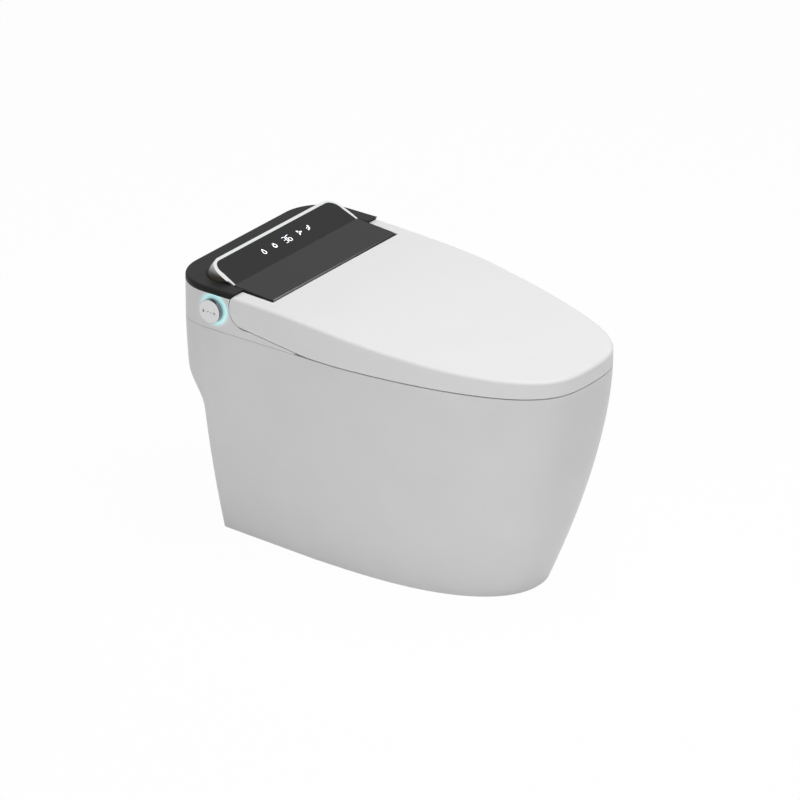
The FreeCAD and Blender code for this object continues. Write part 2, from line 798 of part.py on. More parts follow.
def hood_ring(front_half, waist_half, waist_y, back_y, corner_r, z, inset=0.0, side=None):
    """Plan of the display hood at one height, drawn in by inset, or by side at its sides."""
    side = inset if side is None else side
    front_y = val("crease_y")
    waist = waist_half - side
    back = back_y - inset
    radius = corner_r - inset
    mid = radius * math.sqrt(0.5)
    x = [front_half - side, waist, waist - radius]
    right = [Vector(x[0], front_y, z), Vector(x[1], waist_y, z), Vector(x[1], back - radius, z)]
    edges = [Part.LineSegment(a, b).toShape() for a, b in zip(right, right[1:])]
    edges.append(Part.Arc(right[-1], Vector(x[2] + mid, back - radius + mid, z), Vector(x[2], back, z)).toShape())
    edges.append(Part.LineSegment(Vector(x[2], back, z), Vector(-x[2], back, z)).toShape())
    left = [Vector(-v.x, v.y, z) for v in right]
    edges.append(Part.Arc(Vector(-x[2], back, z), Vector(-x[2] - mid, back - radius + mid, z), left[-1]).toShape())
    edges += [Part.LineSegment(b, a).toShape() for a, b in reversed(list(zip(left, left[1:])))]
    edges.append(Part.LineSegment(left[0], right[0]).toShape())
    return Part.Wire(edges)


def hood_foot(z, inset=0.0):
    return hood_ring(val("panel_half_w"), val("hood_foot_half_w"), val("crease_y") + val("hood_waist"),
                     val("hood_foot_back_y"), val("hood_foot_corner_r"), z, inset)


def hood_ridge(z, inset=0.0, side=None):
    return hood_ring(val("panel_half_w") - 1.5, val("ridge_half_w"), val("crease_y") + 0.8 * val("hood_waist"),
                     val("ridge_y"), val("ridge_corner_r"), z, inset, side)


def hood_block(inset=0.0):
    """Flared wedge from the cover up to the ridge's level."""
    return Part.makeLoft([hood_foot(val("cover_z"), inset), hood_ridge(val("ridge_z"), inset)], True, True)


def under_slope(depth, low):
    """Space under the raised display plane, less a depth."""
    return slope_slab(*slope_line(), depth, low, -FAR, FAR)


def display_hood():
    """Silver hood with a slanted top that carries the display glass."""
    wall = val("shell_t")
    glass = val("glass_t")
    body = hood_block().common(under_slope(glass, 90))
    hollow = hood_block(wall).common(under_slope(glass + wall, 90))
    window = block((-val("window_half_w"), val("window_half_w")),
                   (val("crease_y") + val("window_start"), val("crease_y") + val("window_end")),
                   (val("cover_z"), val("ridge_z")))
    return body.cut([hollow, window])


def upright(ring, z0, z1):
    """Block over a closed plan."""
    ring = ring.copy()
    ring.translate(Vector(0, 0, z0 - ring.BoundBox.ZMin))
    return Part.Face(ring).extrude(Vector(0, 0, z1 - z0))


def inside_strip(gap=0.0):
    """Upright block over all that the chrome strip goes round."""
    ring = hood_ridge(0, val("strip_w") + gap, val("strip_side_w") + gap)
    return upright(ring, val("cover_z") - 20, val("ridge_z") + 20)


def chrome_strip():
    """Bright strip along the back and both sides of the raised glass."""
    slab = hood_block().common(slope_slab(*slope_line(), 0, val("glass_t"), -FAR, FAR))
    return slab.cut(inside_strip())


def display_glass():
    """Black glass, level in front and raised behind the crease."""
    glass = val("glass_t")
    half = val("panel_half_w")
    level = slope_slab(*panel_line(), 0, glass, -half, half)
    plan = block((-half, half), (val("panel_front_y"), val("crease_y") + 1), (val("roof_z"), val("ridge_z")))
    corners = [edge for edge in plan.Edges
               if edge.BoundBox.YMax < val("panel_front_y") + 1 and edge.BoundBox.ZLength > 1]
    level = level.common(plan.makeFillet(2 * glass, corners))
    rim = [edge for edge in level.Edges
           if edge.BoundBox.YMin < val("panel_front_y") + 0.1 and edge.BoundBox.ZMin > val("panel_front_z") - 0.1]
    level = level.makeFillet(val("glass_edge_r"), rim)
    raised = slope_slab(*slope_line(), 0, glass, -half, half).common(inside_strip(0.1))
    return level.fuse(raised).removeSplitter()


def top_cover():
    """Black cover over the housing, open under the hood, with a rounded outer edge."""
    wall = val("shell_t")
    out = val("half_w") + 5
    low = val("seam_z")
    top = val("cover_z")
    behind = block((-out, out), (val("hinge_y"), val("rear_y") + 5), (low - 1, top + 1))
    body = plan_prism(low, top).common(behind)
    rim_edges = [edge for edge in body.Edges
                 if edge.BoundBox.ZMin > top - 0.01 and edge.BoundBox.YMax > val("hinge_y") + 1]
    body = body.makeFillet(val("cover_round"), rim_edges)
    hollow = plan_prism(low - 1, top - wall, wall)
    hollow = hollow.common(block((-out, out), (val("hinge_y") + val("recess_r") + wall, out + 200),
                                 (low - 1, top)))
    hollow = hollow.cut(upright(hood_foot(0), low - 2, top + 2))
    opening = upright(hood_foot(0, 4), low - 2, top + 2)
    front_half = val("liner_out") + 0.3
    front = block((-front_half, front_half), (val("hinge_y") - 1, val("crease_y") + 0.3), (low - 1, top + 1))
    arms = rod_x(val("recess_r"), -out, out, val("hinge_y"), val("hinge_z"))
    body = body.cut([hollow, opening, front, arms])
    bosses = [rod_z(2.5 * val("screw_r"), x, y, low, top - wall + 0.5) for x, y in cover_screw_places()]
    holes = [rod_z(val("screw_r"), x, y, low - 1, top - wall) for x, y in cover_screw_places()]
    return body.fuse(bosses).cut(holes)


def front_fascia():
    """Front wall of the unit: upright below the hinge axis, round above it, flat under the glass."""
    wall = val("shell_t")
    half = val("liner_out")
    y, z = val("hinge_y"), val("hinge_z")
    upper = block((-half, half), (val("unit_front_y") - 5, y), (z, val("cover_z")))
    ring = rod_x(val("barrel_r"), -half, half, y, z).cut(rod_x(val("barrel_r") - wall, -half, half, y, z))
    ring = ring.common(upper)
    upright_wall = block((-half, half), (val("unit_front_y"), val("inner_front_y")), (val("rim_z"), z))
    bed = slope_slab(*panel_line(20), val("glass_t"), val("glass_t") + wall, -half, half)
    bed = bed.common(rod_x(val("barrel_r"), -half, half, y, z).fuse(
        block((-half, half), (y, val("crease_y")), (z, val("cover_z")))))
    below_glass = slope_slab(*panel_line(20), val("glass_t"), 90, -half, half)
    body = ring.common(below_glass).fuse([upright_wall, bed])
    bay = block((-val("bay_half_w"), val("bay_half_w")), (val("unit_front_y") - 1, val("inner_front_y") + 1),
                (val("rim_z") - 1, val("tray_z") + 3))
    return body.cut(bay).removeSplitter()


for maker in (rear_housing, top_cover, display_hood, chrome_strip, display_glass, front_fascia):
    shaped(maker.__name__, maker())


# ---------------------------------------------------------------- lid

LID_STATIONS = 9


def lid_share(y):
    """0 at the rear ends of the lid's arms, 1 at the front tip."""
    rear = val("hinge_y") + 0.7 * val("arm_r")
    return (rear - y) / (rear - val("tip_y"))


def lid_side_z(y):
    """Height of the lid's top edge in side view."""
    share = lid_share(y)
    level = val("lid_rear_z") + (val("lid_front_z") - val("lid_rear_z")) * share
    return level + val("lid_swell") * math.sin(2 * math.pi * share) - val("lid_sag") * math.sin(math.pi * share)


def lid_crown_at(y):
    """Rise of the middle over the edges: none at the display, most in the middle."""
    share = (val("panel_front_y") - y) / (val("panel_front_y") - val("tip_y"))
    return 0.3 + val("lid_crown") * math.sin(math.pi * min(1, max(0, share)))


def under_lid_top(depth=0.0, side_z=lid_side_z, crown=lid_crown_at, floor="rim_z"):
    """Block under a gently crowned top, less a depth."""
    half = val("half_w") + 10
    low = val(floor) - 20
    rear = val("hinge_y") + 1.2 * val("arm_r")
    front = val("tip_y") - 10
    sections = []
    for step in range(LID_STATIONS):
        y = rear + (front - rear) * step / (LID_STATIONS - 1)
        edge_z = side_z(y) - depth
        left, right = Vector(-half, y, edge_z), Vector(half, y, edge_z)
        sections.append(Part.Wire([
            Part.Arc(left, Vector(0, y, edge_z + crown(y)), right).toShape(),
            Part.LineSegment(right, Vector(half, y, low)).toShape(),
            Part.LineSegment(Vector(half, y, low), Vector(-half, y, low)).toShape(),
            Part.LineSegment(Vector(-half, y, low), left).toShape()]))
    return Part.makeLoft(sections, True)


def unit_zone(radius, half, x_grow=0.0):
    """Space that the fixed unit takes between the lid's arms, with a round front."""
    y, z = val("hinge_y"), val("hinge_z")
    width = half + x_grow
    behind = block((-width, width), (y, y + 100), (val("rim_z") - 30, val("ridge_z") + 30))
    below = block((-width, width), (y - radius, y + 1), (val("rim_z") - 30, z))
    return rod_x(radius, -width, width, y, z).fuse([behind, below])


def lid_outside():
    """The lid's outer form, before it is hollowed."""
    out = val("half_w") + 5
    side = above_lid_edge(-out, out).common(around_hinge(val("arm_r"), -out, out, val("rim_z") - 30))
    body = under_lid_top().common(plan_prism(val("rim_z") - 10, val("ridge_z")))
    body = body.common(side)
    top_edges = []
    for edge in body.Edges:
        middle = edge.valueAt((edge.FirstParameter + edge.LastParameter) / 2)
        crowned = lid_side_z(middle.y) + lid_crown_at(middle.y)
        if lid_side_z(middle.y) - 1 < middle.z < crowned + 1 and edge.BoundBox.YLength > 5:
            top_edges.append(edge)
    return body.makeFillet(val("lid_round"), top_edges)


def lid_inside(side_gap, top_gap):
    """Hollow of the lid, open below, kept clear of the walls round the display."""
    wall = val("lid_t")
    body = under_lid_top(top_gap, floor="lid_edge_z").common(
        plan_prism(val("rim_z") - 10, val("ridge_z"), side_gap))
    return body.common(around_hinge(val("arm_r") - wall, -val("half_w"), val("half_w"), val("rim_z") - 30))


def lid_shell():
    """White lid: rounded arms beside the display, a round-walled cut-out and a thin skirt."""
    wall = val("lid_t")
    body = lid_outside().cut(unit_zone(val("cutout_r"), val("arm_half_in")))
    hollow = lid_inside(wall, wall).cut(unit_zone(val("cutout_r") + wall, val("channel_in")))
    body = body.cut(hollow)
    y, z = val("hinge_y"), val("hinge_z")
    boss_r = val("bush_r") + 3
    bosses = both_sides(rod_x(boss_r, val("seat_arm_out") + 0.5, val("channel_out") + 0.5, y, z))
    body = body.fuse(bosses)
    drive_side = rod_x(val("shaft_r"), val("arm_half_in") - 1, val("channel_out"), y, z)
    bush_side = rod_x(val("bush_r"), -val("channel_out"), -val("arm_half_in") + 1, y, z)
    return body.cut([drive_side, bush_side])


def lid_liner():
    """Inner skin of the lid: a thin pan whose rim meets the shell from below."""
    thick = val("lid_liner_t")
    side = val("lid_t") + 0.2
    clear = unit_zone(val("cutout_r") + val("lid_t") + 0.3, val("channel_in") + 0.3)
    rear = block((-FAR, FAR), (val("tip_y"), val("unit_front_y") - 8), (val("rim_z") - 30, val("ridge_z")))
    body = lid_inside(side, val("lid_t")).common(rear).cut(clear)
    keep_low = under_lid_top(val("lid_t") + val("lid_liner_gap") + thick, floor="lid_edge_z")
    body = body.cut(keep_low)
    space = lid_inside(side + thick, val("lid_t") - 1).common(rear)
    inner_clear = unit_zone(val("cutout_r") + val("lid_t") + 0.3 + thick, val("channel_in") + 0.3 + thick)
    space = space.cut([under_lid_top(val("lid_t") + val("lid_liner_gap"), floor="lid_edge_z"), inner_clear])
    return body.cut(space)


for maker in (lid_shell, lid_liner):
    shaped(maker.__name__, maker())


# ---------------------------------------------------------------- seat

def seat_block(inset=0.0, depth=0.0, low=None):
    """Seat between a level underside and a sloping top, drawn in all round by inset."""
    rear, front = val("seat_rear_y") - inset, val("tip_y") - 5
    slope = (val("seat_rear_z") - val("seat_front_z")) / (val("seat_rear_y") - val("tip_y"))
    rear_z = val("seat_rear_z") - inset * slope - depth
    front_z = val("seat_front_z") - 5 * slope - depth
    low = val("seat_low_z") if low is None else low
    side = prism_x(wire_yz([(rear, low), (rear, rear_z), (front, front_z), (front, low)]), -FAR, FAR)
    body = side.common(plan_prism(low - 1, val("seat_rear_z") + 5, val("seat_inset") + inset))
    middle = (val("seat_hole_rear_y") + val("seat_hole_front_y")) / 2
    long_r = (val("seat_hole_rear_y") - val("seat_hole_front_y")) / 2 + inset
    hole = Part.Wire(Part.Ellipse(Vector(0, middle - long_r, low - 1),
                                  Vector(val("seat_hole_half_w") + inset, middle, low - 1),
                                  Vector(0, middle, low - 1)).toShape())
    return body.cut(Part.Face(hole).extrude(Vector(0, 0, 60)))


def seat_arms(grow=0.0):
    """Two arms from the seat's underside back to the bosses on the hinge axis."""
    y, z = val("hinge_y"), val("hinge_z")
    low = val("seat_low_z") - grow
    root = val("seat_rear_y") - 38 - grow
    boss = val("seat_boss_r") * math.sqrt(0.5)
    side = wire_yz([(root, low), (y - 31, low), (y + boss, z - boss), (y - boss, z + boss),
                    (val("seat_rear_y") - 8, val("seat_rear_z") - 8 + grow), (root, val("seat_rear_z") - 9 + grow)])
    x0, x1 = val("seat_arm_in") - grow, val("seat_arm_out") + grow
    arm = prism_x(side, x0, x1).fuse(rod_x(val("seat_boss_r"), x0, x1, y, z))
    inside = block((0, val("seat_half_w") - val("seat_wall") - 0.2), (root - 1, val("seat_rear_y") + 0.3), (low - 1, z))
    behind = block((0, FAR), (val("seat_rear_y") + 0.3 - grow, y + 50), (low - 1, z + 50))
    return both_sides(arm.common(inside.fuse(behind)))


def seat_top():
    """Upper shell of the seat, rounded over, with slots for the arms in its rear wall."""
    wall = val("seat_wall")
    body = seat_block()
    top_edges = []
    for edge in body.Edges:
        middle = edge.valueAt((edge.FirstParameter + edge.LastParameter) / 2)
        if middle.z > val("seat_front_z") - 1 and edge.BoundBox.ZMin > val("seat_split_z") + 2:
            top_edges.append(edge)
    body = body.makeFillet(2 * wall - 1, top_edges)
    above = block((-FAR, FAR), (-2 * FAR, FAR), (val("seat_split_z"), val("seat_rear_z") + 5))
    body = body.common(above).cut(seat_block(wall, wall, val("seat_split_z") - 1))
    return body.cut(seat_arms(0.3))


def seat_bottom():
    """Lower plate of the seat with its two arms."""
    plate = seat_block().common(block((-FAR, FAR), (-2 * FAR, FAR), (val("seat_low_z"), val("seat_split_z"))))
    y, z = val("hinge_y"), val("hinge_z")
    body = plate.fuse(seat_arms())
    keyed = rod_x(val("shaft_r"), -val("seat_arm_out") - 1, -val("seat_arm_in") + 1, y, z)
    bushed = rod_x(val("bush_r"), val("seat_arm_in") - 1, val("seat_arm_out") + 1, y, z)
    return body.cut([keyed, bushed])


def seat_heater():
    """Heating foil under the seat's top skin."""
    wall = val("seat_wall")
    foil = seat_block(2 * wall, wall, val("seat_split_z"))
    return foil.cut(seat_block(wall, wall + val("foil_t"), val("seat_split_z") - 1))


def seat_slope_z(y):
    """Height of the seat's top."""
    slope = (val("seat_rear_z") - val("seat_front_z")) / (val("seat_rear_y") - val("tip_y"))
    return val("seat_rear_z") - (val("seat_rear_y") - y) * slope


FRONT_PADS = (90, -345)
REAR_PADS = (155, -20)


def seat_bumpers():
    """Four rubber pads under the seat."""
    pads = [rod_z(val("pad_r"), side * x, y, val("rim_z") + 0.2, val("seat_low_z"))
            for x, y in (FRONT_PADS, REAR_PADS) for side in (-1, 1)]
    return Part.makeCompound(pads)


def lid_bumpers():
    """Two rubber pads under the lid's inner skin; they rest on the seat's front."""
    depth = val("lid_t") + val("lid_liner_gap") + val("lid_liner_t")
    x, y = FRONT_PADS
    pads = [rod_z(0.75 * val("pad_r"), side * x, y, seat_slope_z(y) + 0.5, val("hinge_z")) for side in (-1, 1)]
    return Part.makeCompound([pad.common(under_lid_top(depth)) for pad in pads])


for maker in (seat_top, seat_bottom, seat_heater, seat_bumpers, lid_bumpers):
    shaped(maker.__name__, maker())


# ---------------------------------------------------------------- hinge shafts, bushes and drives

def hinge_parts():
    """The lid is driven from the +X side, the seat from the -X side, on one axis."""
    axis = ("0", "hinge_y", "hinge_z")
    rod = [("shaft_in", "0"), ("channel_out", "0"), ("channel_out", "shaft_r"), ("shaft_in", "shaft_r")]
    piece(turned_body("lid_drive_shaft", "X", rod, axis))
    rod = [("-channel_out", "0"), ("-shaft_in", "0"), ("-shaft_in", "shaft_r"), ("-channel_out", "shaft_r")]
    piece(turned_body("seat_drive_shaft", "X", rod, axis))
    sleeve = [("seat_arm_in", "bore_r"), ("seat_arm_out", "bore_r"),
              ("seat_arm_out", "bush_r"), ("seat_arm_in", "bush_r")]
    piece(turned_body("seat_bush", "X", sleeve, axis))
    case_y = ("hinge_y - drive_half_w", "hinge_y + drive_half_w")
    case_z = ("tray_z", "roof_z - 1")
    right = part_cut("lid_motor", part_box("lid_motor_case", ("drive_in", "drive_out"), case_y, case_z),
                     [part_rod("lid_motor_bore", "X", "bore_r", ("shaft_in - 0.5", "drive_out + 1"),
                               ("hinge_y", "hinge_z"))])
    left = part_cut("seat_motor", part_box("seat_motor_case", ("-drive_out", "-drive_in"), case_y, case_z),
                    [part_rod("seat_motor_bore", "X", "bore_r", ("-drive_out - 1", "0.5 - shaft_in"),
                              ("hinge_y", "hinge_z"))])
    piece(right)
    piece(left)


def lid_bushes():
    """Two bushes in the -X arm of the lid, in which the seat's shaft turns."""
    y, z = val("hinge_y"), val("hinge_z")
    spans = [(-val("channel_out"), -val("seat_arm_out") - 0.5), (-val("channel_in"), -val("arm_half_in"))]
    rings = [rod_x(val("bush_r"), x0, x1, y, z).cut(rod_x(val("bore_r"), x0 - 1, x1 + 1, y, z)) for x0, x1 in spans]
    return Part.makeCompound(rings)


hinge_parts()
shaped("lid_bushes", lid_bushes())


# ---------------------------------------------------------------- knob

def knob_parts():
    """Press-and-turn knob on the -X side: face, shell with its stem, plunger, light ring, encoder."""
    axis = ("0", "knob_y", "knob_z")
    face = "-half_w - knob_out"
    seat = face + " + knob_face_t"
    rim = face + " + knob_face_t / 2"
    back = "-half_w - knob_travel - 0.7"
    inside = "knob_r - knob_wall"
    lip = "knob_r - knob_wall / 3"
    stem_end = "-half_w + knob_stem"
    piece(turned_body("knob_cap", "X", [
        (face, "0"), (seat, "0"), (seat, inside), (rim, lip), (face + " + 0.6", lip),
        (face, lip + " - 0.8")], axis))
    piece(turned_body("knob_shell", "X", [
        (seat, "0"), (stem_end, "0"), (stem_end, "knob_shaft_r"), (back, "knob_shaft_r"),
        (back, "knob_r - 0.8"), (back + " - 0.8", "knob_r"), (rim, "knob_r"), (rim, lip), (seat, inside),
        (back + " - knob_wall", inside), (back + " - knob_wall", "knob_shaft_r + 3"),
        (seat, "knob_shaft_r + 3")], axis))
    sleeve = ("-half_w + shell_t + 2", stem_end + " - 4")
    piece(turned_body("knob_plunger", "X", [
        (sleeve[0], "knob_shaft_r + fit"), (sleeve[1], "knob_shaft_r + fit"),
        (sleeve[1], "plunger_r"), (sleeve[0], "plunger_r")], axis))
    ring = ("-half_w - 0.4", "-half_w + shell_t")
    piece(turned_body("knob_light_ring", "X", [
        (ring[0], "knob_shaft_r + 4"), (ring[1], "knob_shaft_r + 4"),
        (ring[1], "knob_ring_r - 0.1"), (ring[0], "knob_ring_r - 0.1")], axis))
    case = part_box("knob_encoder_case", ("-half_w + shell_t", stem_end + " + 3"),
                    ("knob_y - encoder_half", "knob_y + encoder_half"),
                    ("knob_z - encoder_half", "knob_z + encoder_half"))
    bore = part_rod("knob_encoder_bore", "X", "plunger_r + fit", ("-half_w + shell_t - 1", stem_end + " + 4"),
                    ("knob_y", "knob_z"))
    piece(part_cut("knob_encoder", case, [bore]))


knob_parts()


# ---------------------------------------------------------------- tray, gasket and fasteners

def tray_blank(low, high, inset=0.0):
    """Plan of the tray inside the housing, with a notch for the nozzle bay."""
    half = val("tray_half_w") - inset
    body = plan_prism(low, high, 2 * val("shell_t") + inset)
    body = body.common(block((-half, half), (val("inner_front_y") + 0.3 + inset, val("rear_y")), (low - 1, high + 1)))
    notch = block((val("duct_x") - val("duct_half_w") - 4, 30),
                  (val("inner_front_y") - 5, val("cradle_foot_y") + 0.5), (low - 1, high + 1))
    return body.cut(notch)


def base_tray():
    """Floor of the unit, bolted to the china deck."""
    low, high = val("tray_low_z"), val("tray_z")
    holes = [rod_z(val("bolt_r") + 0.1, x, y, low - 1, high + 1) for x, y in tray_bolt_places()]
    holes.append(rod_z(val("hose_r"), val("inlet_x"), val("foot_rear_y") - val("china_t") - val("riser_back"),
                       low - 1, high + 1))
    return tray_blank(low, high).cut(holes)


def tray_gasket():
    """Foam strip between the tray and the china."""
    low, high = val("rim_z"), val("tray_low_z")
    bay = block((-val("bay_half_w"), val("bay_half_w")), (0, val("well_front_y")), (low - 1, high + 1))
    holes = [rod_z(val("bolt_r") + 0.3, x, y, low - 1, high + 1) for x, y in tray_bolt_places()]
    return tray_blank(low, high).cut([tray_blank(low - 1, high + 1, 16), bay] + holes)


def tray_bolts():
    """Four bolts through the tray and the deck, each with a nut below."""
    radius = val("bolt_r")
    solids = []
    for x, y in tray_bolt_places():
        shank = rod_z(radius, x, y, val("deck_low_z") - 8, val("tray_z"))
        head = rod_z(2 * radius, x, y, val("tray_z"), val("tray_z") + radius)
        nut = rod_z(2.2 * radius, x, y, val("deck_low_z") - 6, val("deck_low_z"))
        solids += [shank.fuse(head).removeSplitter(), nut.cut(rod_z(radius, x, y, 0, val("rim_z")))]
    return Part.makeCompound(solids)


def cover_screws():
    """Four screws from below the housing's roof into the cover's bosses."""
    radius = val("screw_r")
    solids = []
    for x, y in cover_screw_places():
        shank = rod_z(radius, x, y, val("roof_z") - 0.5, val("cover_z") - val("shell_t") - 0.5)
        head = rod_z(2 * radius, x, y, val("roof_z") - 2, val("roof_z"))
        solids.append(shank.fuse(head).removeSplitter())
    return Part.makeCompound(solids)


for maker in (base_tray, tray_gasket, tray_bolts, cover_screws):
    shaped(maker.__name__, maker())


# ---------------------------------------------------------------- washing wands

PRESSURE = math.radians(20)


def bay_point(along, up):
    """(y, z) of a point given along and across the sloping bay, from the wands' tips."""
    c, s = val("cos_bay"), val("sin_bay")
    return (val("wand_tip_y") + along * c - up * s, val("wand_tip_z") + along * s + up * c)


def tooth_half(height):
    """Half the thickness of a rack tooth at a height over its pitch line."""
    return math.pi * val("gear_module") / 4 - val("gear_slack") / 4 - height * math.tan(PRESSURE)


def rack():
    """Rack along the wand's back, long enough for its travel, its gaps in step with the pinion's teeth."""
    module = val("gear_module")
    pitch = math.pi * module
    line = val("rack_line")
    tip, root, low = line + module, line - 1.25 * module, val("wand_r") - 1.5
    first = val("pinion_at") - 1.5 * pitch
    points = [(first - module, low), (first - module, root)]
    for index in range(math.ceil(val("wand_travel") / pitch) + 4):
        middle = first + index * pitch
        for height, level, sign in ((-1.25, root, -1), (1, tip, -1), (1, tip, 1), (-1.25, root, 1)):
            points.append((middle + sign * tooth_half(height * module), level))
    points += [(points[-1][0] + module, root), (points[-1][0] + module, low)]
    half = val("pinion_w") / 2
    return prism_x(wire_yz(points), -half, half)


def wand_tube():
    """Wand: a tube with a rack on top and a hose tail behind."""
    length = val("wand_len")
    plug = 4
    tail_r = val("wand_bore_r") - 1
    tube = rod_y(val("wand_r"), 0, 0, length, 0).fuse([rack(), rod_y(tail_r, 0, length - 1, length + 6, 0)])
    return tube.cut([rod_y(val("wand_bore_r"), 0, -1, length - plug, 0),
                     rod_y(tail_r - 1.5, 0, length - plug - 1, length + 7, 0)])


def wand_tip(jets):
    """Nozzle cap on the front of a wand, with its jets in the upper side."""
    radius = val("wand_r")
    feed_r = val("wand_bore_r") - 1.5
    cap = rod_y(radius, 0, -2 * radius, 0, 0)
    front = [edge for edge in cap.Edges if edge.BoundBox.YMax < -radius]
    cap = cap.makeFillet(0.4 * radius, front)
    plug = rod_y(val("wand_bore_r"), 0, -1, radius, 0).cut(rod_y(feed_r, 0, -2, radius + 1, 0))
    feed = rod_y(feed_r, 0, -1.4 * radius, 1, 0)
    holes = [rod_z(val("jet_r"), x, y, 0, radius + 1) for x, y in jets]
    return cap.cut([feed] + holes).fuse(plug.common(block((-FAR, FAR), (0, FAR), (-FAR, FAR))))


def pinion(side):
    """Pinion with its axle, one tooth pointing straight down at the rack."""
    module = val("gear_module")
    pitch_r = val("pitch_r")
    base_r = pitch_r * math.cos(PRESSURE)
    involute = math.tan(PRESSURE) - PRESSURE
    pitch_half = tooth_half(0) / pitch_r
    root_r, tip_r = pitch_r - 1.25 * module, pitch_r + module

    def half_angle(radius):
        lean = math.acos(min(1, base_r / radius))
        return pitch_half + involute - (math.tan(lean) - lean)

    radii = [root_r] + [base_r + (tip_r - base_r) * step / 4 for step in range(5)]
    teeth = round(val("pinion_teeth"))
    points = []
    for index in range(teeth):
        middle = -math.pi / 2 + 2 * math.pi * index / teeth
        flank = [(radius, half_angle(radius)) for radius in radii]
        for radius, half in [(r, -h) for r, h in flank] + flank[::-1]:
            points.append((radius * math.cos(middle + half), radius * math.sin(middle + half)))
    width = val("pinion_w")
    middle_x = val("wand_x")
    wheel = prism_x(wire_yz(points), middle_x - width / 2, middle_x + width / 2)
    body = wheel.fuse(rod_x(val("axle_r"), middle_x - width / 2 - 1, val("axle_end"), 0, 0))
    return body if side > 0 else body.mirror(Vector(0, 0, 0), Vector(1, 0, 0))


def placed_in_bay(node, shape, x="0", along="0", up="0"):
    """Piece drawn in the bay's own directions, at a place along and across it."""
    obj = shaped(node, shape)
    obj.Placement = Placement(Vector(), Rotation(Vector(1, 0, 0), val("bay_slope")))
    return bind(obj, Placement__Base__x=x, Placement__Rotation__Angle="bay_slope",
                Placement__Base__y="wand_tip_y + (%s) * cos_bay - (%s) * sin_bay" % (along, up),
                Placement__Base__z="wand_tip_z + (%s) * sin_bay + (%s) * cos_bay" % (along, up))


def wand_cradle():
    """Guide block for both wands, with an upright plate for each stepper and a foot on the tray."""
    start, end = val("cradle_start"), val("cradle_end")
    top = val("wand_r") + 0.6
    out = val("plate_out")
    motor_r = val("stepper_r")
    at = val("pinion_at")
    centre = val("rack_line") + val("pitch_r")
    foot_y, foot_z = val("cradle_foot_y"), val("tray_z")
    side = [bay_point(start, -top - 3), bay_point(start, top), bay_point(end, top),
            (foot_y + val("cradle_foot"), foot_z), (foot_y, foot_z)]
    body = prism_x(wire_yz(side), -out - 5, out + 5)
    plate = [bay_point(at - motor_r, 0), bay_point(at + motor_r, 0),
             bay_point(at + motor_r, centre + motor_r), bay_point(at - motor_r, centre + motor_r)]
    body = body.fuse(both_sides(prism_x(wire_yz(plate), out - val("plate_t"), out)))
    wall_gap = block((-FAR, FAR), (0, val("inner_front_y") + 0.4), (val("tray_z"), val("roof_z")))
    cuts = [both_sides(rod_x(val("axle_r") + 0.4, 0, out + 5, *bay_point(at, centre))),
            both_sides(rod_x(motor_r + 0.3, out, out + 6, *bay_point(at, centre))), wall_gap]
    half = val("pinion_w") / 2 + 0.3
    low, high = start - 16, end + 70
    slot = [bay_point(low, 0), bay_point(low, 20), bay_point(high, 20), bay_point(high, 0)]
    run = Vector(0, *bay_point(high, 0)) - Vector(0, *bay_point(low, 0))
    for x in (-val("wand_x"), val("wand_x")):
        cuts.append(Part.makeCylinder(val("wand_r") + 0.1, run.Length, Vector(x, *bay_point(low, 0)), run))
        cuts.append(prism_x(wire_yz(slot), x - half, x + half))
    return body.cut(cuts)


for side, x in (("left", "-wand_x"), ("right", "wand_x")):
    sign = -1 if side == "left" else 1
    placed_in_bay("wand_" + side, wand_tube(), x)
    jets = [(0, -8)] if side == "left" else [(0, -5), (-2, -8), (2, -8)]
    placed_in_bay("wand_tip_" + side, wand_tip(jets), x)
    placed_in_bay("pinion_" + side, pinion(sign), "0", "pinion_at", "rack_line + pitch_r")


def wand_steppers():
    """Stepper motor for each pinion, mirror images of each other."""
    start, far = "plate_out + 0.2", "axle_end + 2"
    axle = ("0", "wand_tip_y + pinion_at * cos_bay - (rack_line + pitch_r) * sin_bay",
            "wand_tip_z + pinion_at * sin_bay + (rack_line + pitch_r) * cos_bay")
    right = turned_body("stepper", "X", [
        (start, "axle_r + fit"), (far, "axle_r + fit"), (far, "0"), (far + " + stepper_len / 2", "0"),
        (far + " + stepper_len / 2", "stepper_r"), (start, "stepper_r")], axle)
    left = doc.addObject("Part::Mirroring", "stepper_mirrored")
    left.Source = right
    left.Normal = Vector(1, 0, 0)
    pair = doc.addObject("Part::Compound", "wand_steppers")
    pair.Links = [right, left]
    piece(pair)


wand_steppers()
shaped("wand_cradle", wand_cradle())


# ---------------------------------------------------------------- dryer

